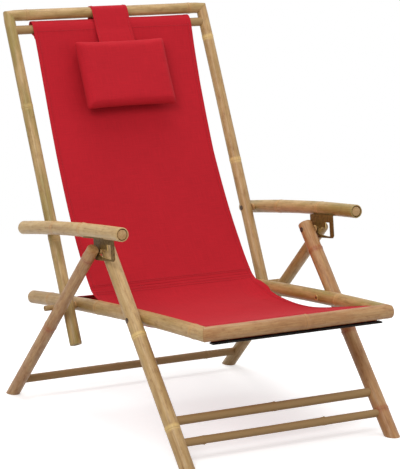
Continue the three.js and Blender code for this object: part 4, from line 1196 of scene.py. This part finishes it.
def canvas_panel(
    name, points, half, shape=flat_place, step=PANEL_STEP, slack=1.0, hem=None, crease_last=False
):
    """Closed sheet of cloth across the chair, with a folded hem along each side"""
    cloth = bpy.context.scene.recliner_canvas
    thick = cloth.thickness
    hem = hem or cloth.hem
    points, length = resampled(points, step)
    columns = panel_columns(half, hem)
    top, bottom, place = [], [], []
    for i, (point, normal) in enumerate(zip(points, line_normals(points))):
        run = length * i / (len(points) - 1)
        from_crease = length - run if crease_last else run
        for x in columns:
            edge = half - abs(x)
            rise = cloth.hem_rise * min(1, max(0, (hem - edge) / (2 * HEM_STEP)))
            rounded = thick / 2 * (1 - math.sqrt(max(0, 1 - max(0, 1 - edge / (thick / 2)) ** 2)))
            waves = 0
            for turns_across, turns_along, share, offset in RIPPLES:
                waves += share * noise.noise(Vector((x * turns_across, run * turns_along, offset)))
            waves *= min(1, edge / RIPPLE_FADE + RIPPLE_AT_EDGE)
            sag = slack * cloth.ripple * (waves - 1)
            top.append(shape(x, point, normal, from_crease, rise - rounded + sag))
            bottom.append(shape(x, point, normal, from_crease, sag - thick + rounded))
            place.append((x, run, 0))
    mesh = shell_mesh(name, top, bottom, len(points), len(columns))
    store(mesh, "cloth", [*place, *place])
    mesh.materials.append(made_of("woven_canvas"))
    smooth(mesh, "canvas")
    return mesh, length


def shell_mesh(name, top, bottom, rows, columns):
    """Closed mesh between two grids"""
    offset = rows * columns
    faces = []
    for i in range(rows - 1):
        for j in range(columns - 1):
            a, b = i * columns + j, i * columns + j + 1
            c, d = a + columns, b + columns
            faces.append((a, b, d, c))
            faces.append((a + offset, c + offset, d + offset, b + offset))
    rim = [j for j in range(columns)]
    rim += [i * columns + columns - 1 for i in range(1, rows)]
    rim += [(rows - 1) * columns + j for j in range(columns - 2, -1, -1)]
    rim += [i * columns for i in range(rows - 2, 0, -1)]
    for k, a in enumerate(rim):
        b = rim[(k + 1) % len(rim)]
        faces.append((b, a, a + offset, b + offset))
    mesh = bpy.data.meshes.new(name)
    mesh.from_pydata([*top, *bottom], [], faces)
    mesh.validate()
    bm = bmesh.new()
    bm.from_mesh(mesh)
    bmesh.ops.recalc_face_normals(bm, faces=bm.faces)
    bm.to_mesh(mesh)
    bm.free()
    return mesh


def stitch_mesh(name, rows):
    """Stitches as small rounded beads of thread; each row is its points and the surface's direction there"""
    cloth = bpy.context.scene.recliner_canvas
    bm = bmesh.new()
    for points, normals in rows:
        lengths = running_lengths(points)
        k = 0
        for i in range(int(lengths[-1] / cloth.stitch_pitch)):
            middle_at = (i + 0.5) * cloth.stitch_pitch
            while k < len(points) - 2 and lengths[k + 1] < middle_at:
                k += 1
            t = (middle_at - lengths[k]) / max(lengths[k + 1] - lengths[k], 1e-9)
            centre = points[k].lerp(points[k + 1], t)
            direction = (points[k + 1] - points[k]).normalized()
            add_stitch(bm, centre, direction, normals[k], cloth)
    bmesh.ops.recalc_face_normals(bm, faces=bm.faces)
    mesh = mesh_from(bm, name)
    mesh.materials.append(made_of("sewing_thread"))
    smooth(mesh, "thread")
    return mesh


def add_stitch(bm, centre, direction, normal, cloth):
    """One stitch, tapered and sunk into the cloth at both ends"""
    cross = direction.cross(normal).normalized()
    loops = []
    for share, swell, rise in STITCH_LOOPS:
        middle_point = centre + direction * (share * cloth.stitch_length)
        middle_point = middle_point + normal * (rise * cloth.thread_radius)
        radius = cloth.thread_radius * swell
        loop = []
        for m in range(STITCH_SIDES):
            turn = math.tau * m / STITCH_SIDES
            point = middle_point + normal * (radius * math.cos(turn)) + cross * (radius * math.sin(turn))
            loop.append(bm.verts.new(point))
        loops.append(loop)
    for below, above in zip(loops, loops[1:]):
        for m in range(STITCH_SIDES):
            n = (m + 1) % STITCH_SIDES
            bm.faces.new((below[m], above[m], above[n], below[n]))
    bm.faces.new(loops[0])
    bm.faces.new(list(reversed(loops[-1])))


def runs_from_crease(points, crease_last):
    """Distance of each point of a line from its crease end"""
    runs = running_lengths(points)
    return [runs[-1] - run for run in runs] if crease_last else runs


def stitch_row_across(half, shape, points, k, crease_last=False):
    """A straight row of stitches across a panel, at the k-th point of its line"""
    run, normal = runs_from_crease(points, crease_last)[k], line_normals(points)[k]
    reach = half - STITCH_ROW_INSET
    xs = [-reach + 2 * reach * i / STITCH_ROW_STEPS for i in range(STITCH_ROW_STEPS + 1)]
    return [shape(x, points[k], normal, run, 0) for x in xs], [normal] * len(xs)


def stitch_rows_along(points, half, hem, rise, shape=flat_place, crease_last=False):
    """A row of stitches along each hem"""
    normals = line_normals(points)
    runs = runs_from_crease(points, crease_last)
    rows = []
    for s in (LEFT, RIGHT):
        x = s * (half - hem * HEM_STITCH_SHARE)
        rows.append(([shape(x, p, n, run, rise) for p, n, run in zip(points, normals, runs)], normals))
    return rows


# Sling in the side view, measured from the back pivot and the bars
CREASE_FROM_PIVOT = side(-0.02107, 0.036004)
SEAT_LOW_FROM_PIVOT = side(-0.22407, -0.004496)
SEAT_FRONT_SLOPE_DEG = -11.2
SEAT_FRONT_HANDLE = 0.158
SEAT_LOW_HANDLE = 0.115
CREASE_HANDLE = 0.062
CREASE_SLOPE_DEG = 44
BACK_LOW_SLOPE_DEG = 47
BACK_TOP_SLOPE_DEG = 69.9
BACK_LOW_HANDLE_SHARE = 0.1976
BACK_TOP_HANDLE_SHARE = 0.4687
SEAM_GAP = 0.0005
FLAP_SETBACK = 0.012
SLING_STEPS = 48
CREASE = BACK_PIVOT + CREASE_FROM_PIVOT

# Cloth round the pocket bars: where it leaves them, and the loose tunnel at the top with its seam
SEAT_TAIL_LEAVES_DEG = 195
SEAT_POCKET_STEPS = 14
TUNNEL_TURN_DEG = 178
TUNNEL_STEPS = 16
TUNNEL_ROUNDNESS = 0.7
TUNNEL_LEAN = 0.35
TUNNEL_DROP = 0.004
SEAM_BEHIND = 0.002
SEAM_BELOW_TOP = 0.022
SEAM_ALLOWANCE = 0.006
FLAP_TURN_DEG = 300
FLAP_STEPS = 24
FLAP_SLACK = 0.4

# Rows of stitches across a panel, as points of its line counted from one end
SEAT_ROWS_ACROSS = (3, -3, -5)
BACK_ROWS_ACROSS = (-2, 2, 3)


def on_pocket(bar, bar_radius, slope):
    """Where cloth of a given slope leaves the top of its bar"""
    return in_side_view(bar) + square(slope) * pocket_radius(bar_radius)


def seat_line():
    """Right side of the seat panel, from the front pocket to the crease"""
    front_slope = heading(SEAT_FRONT_SLOPE_DEG)
    start = on_pocket("front_sling_bar", FRONT_SLING_BAR_RADIUS, front_slope)
    low = BACK_PIVOT + SEAT_LOW_FROM_PIVOT
    level = heading(0)
    line = bezier(start, front_slope, SEAT_FRONT_HANDLE, low, level, SEAT_LOW_HANDLE, SLING_STEPS)
    rise = heading(CREASE_SLOPE_DEG)
    return line + bezier(low, level, SEAT_LOW_HANDLE, CREASE, rise, CREASE_HANDLE, SLING_STEPS)[1:]


def back_line():
    """Right side of the back panel, from the crease to the top pocket"""
    start = CREASE + heading(CREASE_SLOPE_DEG) * SEAM_GAP
    top_slope = heading(BACK_TOP_SLOPE_DEG)
    end = on_pocket("top_sling_bar", TOP_BAR_RADIUS, top_slope)
    span = (end - start).length
    low_handle, top_handle = BACK_LOW_HANDLE_SHARE * span, BACK_TOP_HANDLE_SHARE * span
    return bezier(start, heading(BACK_LOW_SLOPE_DEG), low_handle, end, top_slope, top_handle, 2 * SLING_STEPS)


def build_seat_panel():
    """Seat canvas: clamped under the front bar, round the front bar's pocket and back to the crease"""
    cloth = bpy.context.scene.recliner_canvas
    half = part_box("seat_sling")[1].x
    bar = in_side_view("front_sling_bar")
    radius = pocket_radius(FRONT_SLING_BAR_RADIUS)
    batten_low, batten_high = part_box("front_batten")
    tail_z = batten_high.z + TOUCH_GAP
    tail = [side(batten_low.y, tail_z), side(batten_high.y, tail_z)]
    around = arc(bar, radius, SEAT_TAIL_LEAVES_DEG, 90 + SEAT_FRONT_SLOPE_DEG, SEAT_POCKET_STEPS)
    behind = seat_line()
    shape = sling_shape(half, SEAT_EDGES, SEAT_CURL)
    line = [*tail, *around[:-1], *behind]
    mesh, length = canvas_panel("seat_canvas", line, half, shape, crease_last=True)
    piece = add_piece("seat_canvas", mesh, None, "canvas", "seat_sling")
    rows = stitch_rows_along(behind, half, cloth.hem, cloth.hem_rise, shape, True)
    for k in SEAT_ROWS_ACROSS:
        rows.append(stitch_row_across(half, shape, behind, k, True))
    thread = add_piece("seat_stitching", stitch_mesh("seat_stitching", rows), None, "canvas")
    for item in (piece, thread):
        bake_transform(item)


def build_back_panel():
    """Back canvas: from the crease up and over the top bar, and down behind it to its seam"""
    cloth = bpy.context.scene.recliner_canvas
    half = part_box("back_sling")[1].x
    bar = in_side_view("top_sling_bar")
    radius = pocket_radius(TOP_BAR_RADIUS)
    up_line = back_line()
    up = heading(BACK_TOP_SLOPE_DEG)
    start_deg = 90 + BACK_TOP_SLOPE_DEG

    # The loose tunnel stands up behind its bar, nearly to the top rail, and comes down to a seam just below
    around = []
    for i, point in enumerate(arc(bar, radius, start_deg, start_deg - TUNNEL_TURN_DEG, TUNNEL_STEPS)):
        t = i / TUNNEL_STEPS
        lean = TUNNEL_LEAN + (1 - TUNNEL_LEAN) * t
        around.append(point + up * (cloth.pocket_slack * math.sin(math.pi * t) ** TUNNEL_ROUNDNESS * lean))
    under = up_line[-1] - square(up) * (2 * cloth.thickness + SEAM_BEHIND)
    seam = under - up * SEAM_BELOW_TOP
    line = [*up_line, *around[1:], around[-1] - up * TUNNEL_DROP, seam, seam - up * SEAM_ALLOWANCE]
    shape = sling_shape(half, BACK_EDGES)
    mesh, length = canvas_panel("back_canvas", line, half, shape)
    piece = add_piece("back_canvas", mesh, None, "canvas", "back_sling")
    rows = stitch_rows_along(up_line, half, cloth.hem, cloth.hem_rise, shape)
    for k in BACK_ROWS_ACROSS:
        rows.append(stitch_row_across(half, shape, up_line, k))
    thread = add_piece("back_stitching", stitch_mesh("back_stitching", rows), None, "canvas")
    for item in (piece, thread):
        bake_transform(item)


def build_rear_flap():
    """Flap from the crease seam down to the rear bar and round it"""
    cloth = bpy.context.scene.recliner_canvas
    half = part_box("rear_flap")[1].x
    bar = in_side_view("rear_sling_bar")
    radius = pocket_radius(REAR_SLING_BAR_RADIUS)
    rise = heading(CREASE_SLOPE_DEG)
    start = CREASE - rise * FLAP_SETBACK - square(rise) * (cloth.thickness + SEAM_GAP)
    aim = bar + heading(90) * radius - start
    start_deg = 90 + math.degrees(math.atan2(aim.z, aim.y))
    around = arc(bar, radius, start_deg, start_deg - FLAP_TURN_DEG, FLAP_STEPS)
    mesh, length = canvas_panel("rear_flap_canvas", [start, *around], half, slack=FLAP_SLACK)
    piece = add_piece("rear_flap_canvas", mesh, None, "canvas", "rear_flap")
    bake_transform(piece)


# Headrest

# The pillow and its strap: metres, counts of facets, frames and steps, and shares
PILLOW_BELOW_TOP = 0.184
PILLOW_TO_LEFT = 0.0035
PILLOW_EDGE_HALF = 0.003
PILLOW_SHRINK = 0.0025
PILLOW_COLUMNS, PILLOW_ROWS = 44, 32
CROWN_ROUNDNESS = 0.8
PILLOW_PRESSURE = 4
SWELL_FRAMES = 20
STRAP_STEP = 0.005
STRAP_HEM = 0.008
STRAP_SLACK = 0.2
STRAP_OFF_POCKET = 0.0002
STRAP_INTO_PILLOW = 0.006
STRAP_BEFORE_BAR = 0.012
STRAP_LOOK_BELOW_BAR = 0.03
WRAP_STEPS = 16


def pillow_crown(u, v, border_u, border_v):
    """Share of full depth: a flat middle and a rounded slope to the edge"""
    crown = 1
    for place, border in ((u, border_u), (v, border_v)):
        crown *= math.sin(math.pi / 2 * min(1, (1 - abs(place)) / border)) ** CROWN_ROUNDNESS
    return crown


def swell(mesh_object, settings):
    """Blows the remeshed pillow up as cloth, held within a cap of its start"""
    scene = bpy.context.scene
    mesh_object.modifiers.new("remesh", "REMESH").voxel_size = settings.voxel
    start = evaluated_mesh(mesh_object)
    mesh_object.modifiers.clear()
    mesh_object.data = start
    rest = np.zeros(len(start.vertices) * 3)
    start.vertices.foreach_get("co", rest)
    modifier = mesh_object.modifiers.new("cloth", "CLOTH")
    modifier.settings.use_pressure = True
    modifier.settings.uniform_pressure_force = PILLOW_PRESSURE
    modifier.settings.effector_weights.gravity = 0
    modifier.point_cache.frame_start = 1
    modifier.point_cache.frame_end = SWELL_FRAMES
    for number in range(1, SWELL_FRAMES + 1):
        scene.frame_set(number)
    swollen = evaluated_mesh(mesh_object)
    mesh_object.modifiers.clear()
    moved = np.zeros(len(swollen.vertices) * 3)
    swollen.vertices.foreach_get("co", moved)
    move = (moved - rest).reshape(-1, 3)
    lengths = np.linalg.norm(move, axis=1, keepdims=True)
    move *= np.minimum(1, settings.swell_cap / np.maximum(lengths, 1e-9))
    swollen.vertices.foreach_set("co", (rest.reshape(-1, 3) + move).ravel())
    mesh_object.data = swollen
    scene.frame_set(1)


def build_pillow():
    """Headrest pillow: cut, swollen as cloth, seamed and set on the strap"""
    settings = bpy.context.scene.recliner_headrest
    along = (BACK_TOP - BACK_PIVOT).length - PILLOW_BELOW_TOP
    on_line = BACK_PIVOT + BACK_DIR * along
    corners = [Vector(c.co) for c in frame["nodes"]["headrest_pillow"].data.vertices]
    behind = min((c - on_line).dot(BACK_FRONT) for c in corners)
    centre = on_line + BACK_FRONT * (behind + settings.back_depth) - SIDEWAYS * PILLOW_TO_LEFT
    basis = Matrix((-SIDEWAYS, BACK_FRONT, BACK_DIR)).transposed()
    half_width, half_height = settings.width / 2, settings.height / 2
    border_u, border_v = settings.border / half_width, settings.border / half_height
    points = []
    for face, depth in ((1, settings.front_depth), (-1, settings.back_depth)):
        rise = depth - PILLOW_SHRINK - PILLOW_EDGE_HALF
        for j in range(PILLOW_ROWS + 1):
            v = -math.cos(math.pi * j / PILLOW_ROWS)
            for i in range(PILLOW_COLUMNS + 1):
                u = -math.cos(math.pi * i / PILLOW_COLUMNS)
                x = u * (half_width - PILLOW_SHRINK) - u * settings.side_draw * (1 - v * v)
                y = face * (PILLOW_EDGE_HALF + rise * pillow_crown(u, v, border_u, border_v))
                z = v * (half_height - PILLOW_SHRINK) - v * settings.side_draw * (1 - u * u)
                points.append(centre + basis @ Vector((x, y, z)))
    rows, columns = PILLOW_ROWS + 1, PILLOW_COLUMNS + 1
    half_count = rows * columns
    mesh = shell_mesh("headrest_cushion", points[:half_count], points[half_count:], rows, columns)
    piece = bpy.data.objects.new("headrest_cushion", mesh)
    bpy.context.scene.collection.objects.link(piece)
    swell(piece, settings)
    piece.modifiers.new("smooth", "SUBSURF").levels = 1
    mesh = evaluated_mesh(piece)
    piece.modifiers.clear()
    piece.data = mesh
    back = basis.inverted()
    place = []
    for vert in mesh.vertices:
        local = back @ (vert.co - centre)
        place.append((local.x, local.z, 0))
    store(mesh, "cloth", place)
    mesh.materials.clear()
    mesh.materials.append(made_of("woven_canvas"))
    smooth(mesh, "pillow")
    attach(piece, "back")
    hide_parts("headrest_pillow")


def near_back(run, out):
    """Point of the side view at a distance along the back frame and in front of it"""
    return BACK_PIVOT + BACK_DIR * run + BACK_FRONT * out


def build_strap():
    """Flat strap from behind the pillow over the top pocket and the top rail"""
    settings = bpy.context.scene.recliner_headrest
    cloth = bpy.context.scene.recliner_canvas
    half = settings.strap_width / 2
    run_to_top = (BACK_TOP - BACK_PIVOT).length
    top_bar_run = (in_side_view("top_sling_bar") - BACK_PIVOT).dot(BACK_DIR)
    out = max(pocket_radius(TOP_BAR_RADIUS) + STRAP_OFF_POCKET, UPRIGHT_RADII[1]) + TOUCH_GAP
    out += cloth.thickness

    # The strap's lower end lies where the packed one does, in front of the back canvas
    low_outs = []
    for vert in frame["nodes"]["headrest_strap"].data.vertices:
        place = Vector(vert.co) - BACK_PIVOT
        if place.dot(BACK_DIR) < top_bar_run - STRAP_LOOK_BELOW_BAR and place.dot(BACK_FRONT) > 0:
            low_outs.append(place.dot(BACK_FRONT))
    pillow_top_run = run_to_top - PILLOW_BELOW_TOP + settings.height / 2 - settings.side_draw
    wrap = []
    for i in range(WRAP_STEPS + 1):
        turn = math.pi * i / WRAP_STEPS
        wrap.append(near_back(run_to_top + out * math.sin(turn), out * math.cos(turn)))
    line = [
        near_back(pillow_top_run - STRAP_INTO_PILLOW, min(low_outs) + cloth.thickness),
        near_back(top_bar_run - STRAP_BEFORE_BAR, out),
        near_back(top_bar_run, out),
        *wrap,
        near_back(run_to_top - settings.strap_tail, -out),
    ]
    mesh, length = canvas_panel(
        "headrest_webbing", line, half, step=STRAP_STEP, slack=STRAP_SLACK, hem=STRAP_HEM
    )
    piece = add_piece("headrest_webbing", mesh, "back", "canvas", "headrest_strap")
    points, _ = resampled(line, STRAP_STEP)
    rows = stitch_rows_along(points, half, STRAP_HEM, cloth.hem_rise)
    thread = add_piece("headrest_stitching", stitch_mesh("headrest_stitching", rows), "back", "canvas")


# Steel and small parts

# Easing of the edges, in metres and degrees
MERGE_WITHIN = 1e-6
FLAT_WITHIN_DEG = 2
EDGE_FROM_DEG = 40
EDGE_ROUNDNESS = 0.6
FINE_BEVEL = 0.0002
SMALL_BEVEL = 0.0004
SOFT_BEVEL = 0.0005

# The part of a bracket's plate that counts as its window, from its ends and along the armrest from the pin
WINDOW_FROM_ENDS = 0.008
WINDOW_LOW, WINDOW_HIGH = -0.021, 0.019
WINDOW_FACING = 0.3

# Bolt heads: sides, rings of the dome and how much of the head is dome
BOLT_SIDES = 28
DOME_RINGS = 6
DOME_SHARE = 0.8
HEAD_FROM_SHARE = 0.8


def dressed_solid(node, finish, bevel=SMALL_BEVEL, slot="black_steel", edge_finish=None, inner=None):
    """Copy of a packed solid with its edges eased, for a small hard part"""
    source = frame["nodes"][node]
    bm = bmesh.new()
    bm.from_mesh(source.data)
    bmesh.ops.remove_doubles(bm, verts=bm.verts, dist=MERGE_WITHIN)
    bmesh.ops.dissolve_limit(bm, angle_limit=math.radians(FLAT_WITHIN_DEG), verts=bm.verts, edges=bm.edges)
    for face in bm.faces:
        face.material_index = 1 if inner and inner(face) else 0
    sharp = math.radians(EDGE_FROM_DEG)
    edges = [e for e in bm.edges if len(e.link_faces) == 2 and e.calc_face_angle(0) > sharp]
    bmesh.ops.bevel(
        bm, geom=edges, offset=bevel, segments=2, profile=EDGE_ROUNDNESS, affect="EDGES", clamp_overlap=True
    )
    mesh = mesh_from(bm, node)
    mesh.materials.append(made_of(finish))
    if edge_finish:
        mesh.materials.append(made_of(edge_finish))
    smooth(mesh, "steel")
    add_piece("dressed_" + node, mesh, source.get("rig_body"), slot, node)


def build_brackets():
    """Notched steel angles under the armrests, with the plate worn bright in the window"""
    for s in (LEFT, RIGHT):
        node = f"notch_bracket_{SIDE_NAME[s]}"
        low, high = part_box(node)

        # The faces in the window take the bright lacquer, which paints a highlight there as well as wear
        def in_window(face, low=low, high=high):
            c = face.calc_center_median()
            clear = min(c.y - low.y, high.y - c.y) > WINDOW_FROM_ENDS and abs(face.normal.x) < WINDOW_FACING
            return clear and WINDOW_LOW < (c - PIN).dot(ARM_UP) < WINDOW_HIGH

        dressed_solid(
            node, "bronze_lacquered_steel", slot="bronze_steel", edge_finish="worn_lacquer_edge",
            inner=in_window,
        )


def build_batten():
    """Black steel strip that clamps the canvas under the front bar"""
    dressed_solid("front_batten", "blackened_steel", SOFT_BEVEL)
    for name in ("left", "middle", "right"):
        dressed_solid(f"batten_screw_{name}", "blackened_steel", FINE_BEVEL)


def domed_bolt(node, body):
    """Carriage bolt: a low domed head on a round shank, turned about its packed solid's axis"""
    low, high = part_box(node)
    line = in_side_view(node)
    verts = [Vector(v.co) for v in frame["nodes"][node].data.vertices]
    head_xs = [v.x for v in verts if (at(0, v) - line).length > BOLT_HEAD_RADIUS * HEAD_FROM_SHARE]
    height = max(head_xs) - min(head_xs)
    head_is_low = abs(min(head_xs) - low.x) < 1e-5
    start_x, step = (low.x, 1) if head_is_low else (high.x, -1)
    length = high.x - low.x
    profile = [(0, 0)]
    for i in range(1, DOME_RINGS + 1):
        turn = math.pi / 2 * i / DOME_RINGS
        profile.append((BOLT_HEAD_RADIUS * math.sin(turn), height * (1 - math.cos(turn)) * DOME_SHARE))
    profile += [(BOLT_HEAD_RADIUS, height), (BOLT_RADIUS, height), (BOLT_RADIUS, length), (0, length)]
    bm = bmesh.new()
    rings = []
    for radius, run in profile:
        ring = []
        for k in range(BOLT_SIDES if radius else 1):
            turn = math.tau * k / BOLT_SIDES
            y, z = line.y + radius * math.cos(turn), line.z + radius * math.sin(turn)
            ring.append(bm.verts.new((start_x + step * run, y, z)))
        rings.append(ring)
    for a, b in zip(rings, rings[1:]):
        for k in range(BOLT_SIDES):
            m = (k + 1) % BOLT_SIDES
            corners = [a[k % len(a)], a[m % len(a)], b[m % len(b)], b[k % len(b)]]
            unique = list(dict.fromkeys(corners))
            if len(unique) > 2:
                bm.faces.new(unique)
    bmesh.ops.recalc_face_normals(bm, faces=bm.faces)
    mesh = mesh_from(bm, node)
    mesh.materials.append(made_of("browned_steel"))
    smooth(mesh, "bolt")
    add_piece("dressed_" + node, mesh, body, "black_steel", node)


def build_fasteners():
    """Bolts, pins, nuts, screws, spacers and pegs"""
    for s in (LEFT, RIGHT):
        name = SIDE_NAME[s]
        domed_bolt(f"leg_pivot_bolt_{name}", "seat")
        domed_bolt(f"notch_pin_{name}", "front_legs")
        domed_bolt(f"arm_pivot_bolt_{name}", f"{name}_arm_pivot")
        dressed_solid(f"leg_pivot_nut_{name}", "worn_lacquer_edge", 0.0004)
        for place in ("front", "rear"):
            dressed_solid(f"bracket_screw_{place}_{name}", "blackened_steel", 0.0002)
        for part in ("arm_spacer", "back_spacer", "notch_spacer"):
            dressed_solid(f"{part}_{name}", "turned_softwood", 0.0004, "pale_wood")
        for place in ("front", "top"):
            dressed_solid(f"mitre_peg_{place}_{name}", "turned_softwood", 0.0005, "pale_wood")


# Stage

CAMERA_PLACE = Vector((-2.60718, -4.597269, 1.37641))
CAMERA_TURN_DEG = -29.643
CAMERA_LIFT_DEG = 9.933
CAMERA_ROLL_DEG = -0.214
SENSOR_MM = 36
CLIP_END = 50
FLOOR_RADIUS = 3.0
FLOOR_DROP = 0.0005
FLOOR_SIDES = 64
LAMP_AIM = Vector((0, 0, 0.45))

# Name, place and size of each lamp, with the setting that holds its power
LAMPS = (
    ("key", Vector((-2.4, -2.2, 2.6)), 1.6, "key_watts"),
    ("fill", Vector((2.8, -1.6, 1.6)), 2.2, "fill_watts"),
    ("overhead", Vector((0.2, 0.6, 3.4)), 2.4, "top_watts"),
)


def build_camera():
    """Camera at the photograph's angle"""
    settings = bpy.context.scene.recliner_stage
    turn, lift, roll = (math.radians(a) for a in (CAMERA_TURN_DEG, CAMERA_LIFT_DEG, CAMERA_ROLL_DEG))
    back = Vector((math.sin(turn) * math.cos(lift), -math.cos(turn) * math.cos(lift), math.sin(lift)))
    right = (-back).cross(UP).normalized()
    up = right.cross(-back)
    rolled_right = right * math.cos(roll) + up * math.sin(roll)
    rolled_up = up * math.cos(roll) - right * math.sin(roll)
    data = bpy.data.cameras.new("camera")
    data.lens = settings.lens
    data.sensor_width = SENSOR_MM
    data.clip_end = CLIP_END
    camera = bpy.data.objects.new("camera", data)
    turned = Matrix((rolled_right, rolled_up, back)).transposed().to_4x4()
    camera.matrix_world = Matrix.Translation(CAMERA_PLACE) @ turned
    bpy.context.scene.collection.objects.link(camera)
    bpy.context.scene.camera = camera


def add_lamp(name, place, size, watts):
    """Square soft lamp, aimed at the middle of the chair"""
    data = bpy.data.lights.new(name, "AREA")
    data.size = size
    data.energy = watts
    lamp = bpy.data.objects.new(name, data)
    lamp.location = place
    lamp.rotation_euler = (LAMP_AIM - place).to_track_quat("-Z", "Y").to_euler()
    bpy.context.scene.collection.objects.link(lamp)


def seen_or_mirrored(tree):
    """1 for rays from the camera and for reflections, with the ray's own outputs"""
    path = add_node(tree, "ShaderNodeLightPath").node.outputs
    rays = {"i0": path["Is Camera Ray"], "i1": path["Is Glossy Ray"]}
    return add_node(tree, "ShaderNodeMath", {"operation": "MAXIMUM"}, **rays), path


def build_world():
    """White to the camera and to reflections, a plain soft light on the object"""
    settings = bpy.context.scene.recliner_stage
    world = bpy.data.worlds.new("studio")
    bpy.context.scene.world = world
    world.use_nodes = True
    tree = world.node_tree
    tree.nodes.clear()
    output = tree.nodes.new("ShaderNodeOutputWorld")
    soft = add_node(tree, "ShaderNodeBackground", Color=(1, 1, 1, 1), Strength=settings.sky)
    white = add_node(tree, "ShaderNodeBackground", Color=(1, 1, 1, 1), Strength=1.0)
    seen, path = seen_or_mirrored(tree)
    through = path["Is Transmission Ray"]
    seen = add_node(tree, "ShaderNodeMath", {"operation": "MAXIMUM"}, i0=seen, i1=through)
    mixed = add_node(tree, "ShaderNodeMixShader", i0=seen, i1=soft, i2=white)
    tree.links.new(mixed, output.inputs["Surface"])


# Painted studio floor: matt white, fading into the white background far from the chair, and clear
# where it is looked at from below
def floor_paint():
    material = bpy.data.materials.new("matt_floor_paint")
    material.use_nodes = True
    tree = material.node_tree
    tree.nodes.clear()
    output = tree.nodes.new("ShaderNodeOutputMaterial")
    paint = add_node(tree, "ShaderNodeBsdfDiffuse", Color=(0.86, 0.86, 0.86, 1))
    dull = add_node(tree, "ShaderNodeBsdfDiffuse", Color=(0.5, 0.5, 0.5, 1))
    clear = add_node(tree, "ShaderNodeBsdfTransparent")
    glow = add_node(tree, "ShaderNodeEmission", Color=(1, 1, 1, 1), Strength=0.5)
    seen, path = seen_or_mirrored(tree)
    lit = add_node(tree, "ShaderNodeAddShader", i0=paint, i1=glow)
    shown = add_node(tree, "ShaderNodeMixShader", i0=seen, i1=dull, i2=lit)
    place = add_node(tree, "ShaderNodeTexCoord", output="Object")
    away = add_node(tree, "ShaderNodeVectorMath", {"operation": "LENGTH"}, output="Value", i0=place)
    share = add_node(tree, "ShaderNodeMath", {"operation": "DIVIDE"}, i0=away, i1=FLOOR_RADIUS)
    fade = add_node(tree, "ShaderNodeValToRGB", stops=[(0.3, grey(0)), (0.9, grey(1))], Fac=share)
    below = add_node(tree, "ShaderNodeNewGeometry", output="Backfacing")
    under = add_node(tree, "ShaderNodeMath", {"operation": "MULTIPLY"}, i0=below, i1=path["Is Camera Ray"])
    gone = add_node(tree, "ShaderNodeMath", {"operation": "MAXIMUM"}, i0=fade, i1=under)
    surface = add_node(tree, "ShaderNodeMixShader", i0=gone, i1=shown, i2=clear)
    tree.links.new(surface, output.inputs["Surface"])
    return material


def build_floor():
    """Round floor, just under the feet"""
    bm = bmesh.new()
    bmesh.ops.create_circle(bm, cap_ends=True, segments=FLOOR_SIDES, radius=FLOOR_RADIUS)
    mesh = mesh_from(bm, "studio_floor")
    mesh.materials.append(floor_paint())
    floor = bpy.data.objects.new("studio_floor", mesh)
    floor.location.z = -FLOOR_DROP
    bpy.context.scene.collection.objects.link(floor)


def build_stage():
    """Floor, world, lamps and camera"""
    settings = bpy.context.scene.recliner_stage
    bpy.context.scene.view_settings.view_transform = "Standard"
    for name, place, size, power in LAMPS:
        add_lamp(name, place, size, getattr(settings, power))
    build_world()
    build_floor()
    build_camera()


# Operators, one for each piece or group of like pieces


def operator_for(identifier, label, note, build):
    """Operator class that runs one build function"""

    def execute(self, context):
        build()
        return {"FINISHED"}

    members = {"bl_idname": f"recliner.{identifier}", "bl_label": label, "__doc__": note, "execute": execute}
    members["bl_options"] = {"REGISTER", "UNDO"}
    return type(f"RECLINER_OT_{identifier}", (bpy.types.Operator,), members)


OPERATORS = [
    operator_for("seat_frame", "Seat Frame", "Rails, front bar and the pocket bars", build_seat_frame),
    operator_for("legs", "Legs", "Front and rear legs with their crossbars", build_legs),
    operator_for("back_frame", "Back Frame", "Uprights, top rail and pivot rod", build_back_frame),
    operator_for("armrests", "Armrests", "Armrests with the discs in their front ends", build_armrests),
    operator_for("brackets", "Notched Brackets", "Steel angles under the armrests", build_brackets),
    operator_for("batten", "Front Batten", "Strip that clamps the canvas, with its screws", build_batten),
    operator_for("fasteners", "Fasteners", "Bolts, pins, screws, spacers and pegs", build_fasteners),
    operator_for("seat_panel", "Seat Canvas", "Canvas from the front bar to the crease", build_seat_panel),
    operator_for("back_panel", "Back Canvas", "Canvas from the crease to the top bar", build_back_panel),
    operator_for("rear_flap", "Rear Flap", "Canvas from the crease to the rear bar", build_rear_flap),
    operator_for("pillow", "Headrest Pillow", "Pillow swollen as cloth", build_pillow),
    operator_for("strap", "Headrest Strap", "Strap over the top rail", build_strap),
    operator_for("stage", "Stage", "Floor, light and camera", build_stage),
]


class RECLINER_PT_sidebar(bpy.types.Panel):
    """Lists the recliner's operators"""

    bl_label = "Bamboo Recliner"
    bl_idname = "RECLINER_PT_sidebar"
    bl_space_type = "VIEW_3D"
    bl_region_type = "UI"
    bl_category = "Recliner"

    def draw(self, context):
        for operator in OPERATORS:
            self.layout.operator(operator.bl_idname)


def register():
    for group in GROUPS.values():
        bpy.utils.register_class(group)
    for operator in OPERATORS:
        bpy.utils.register_class(operator)
    bpy.utils.register_class(RECLINER_PT_sidebar)
    for name, group in GROUPS.items():
        setattr(bpy.types.Scene, name, PointerProperty(type=group))


def unregister():
    for name in GROUPS:
        delattr(bpy.types.Scene, name)
    bpy.utils.unregister_class(RECLINER_PT_sidebar)
    for operator in reversed(OPERATORS):
        bpy.utils.unregister_class(operator)
    for group in reversed(list(GROUPS.values())):
        bpy.utils.unregister_class(group)


def main():
    """Builds every piece in order and writes the two boxes"""
    register()
    for operator in OPERATORS:
        name = operator.bl_idname.split(".")[1]
        getattr(bpy.ops.recliner, name)()


if __name__ == "__main__":
    main()
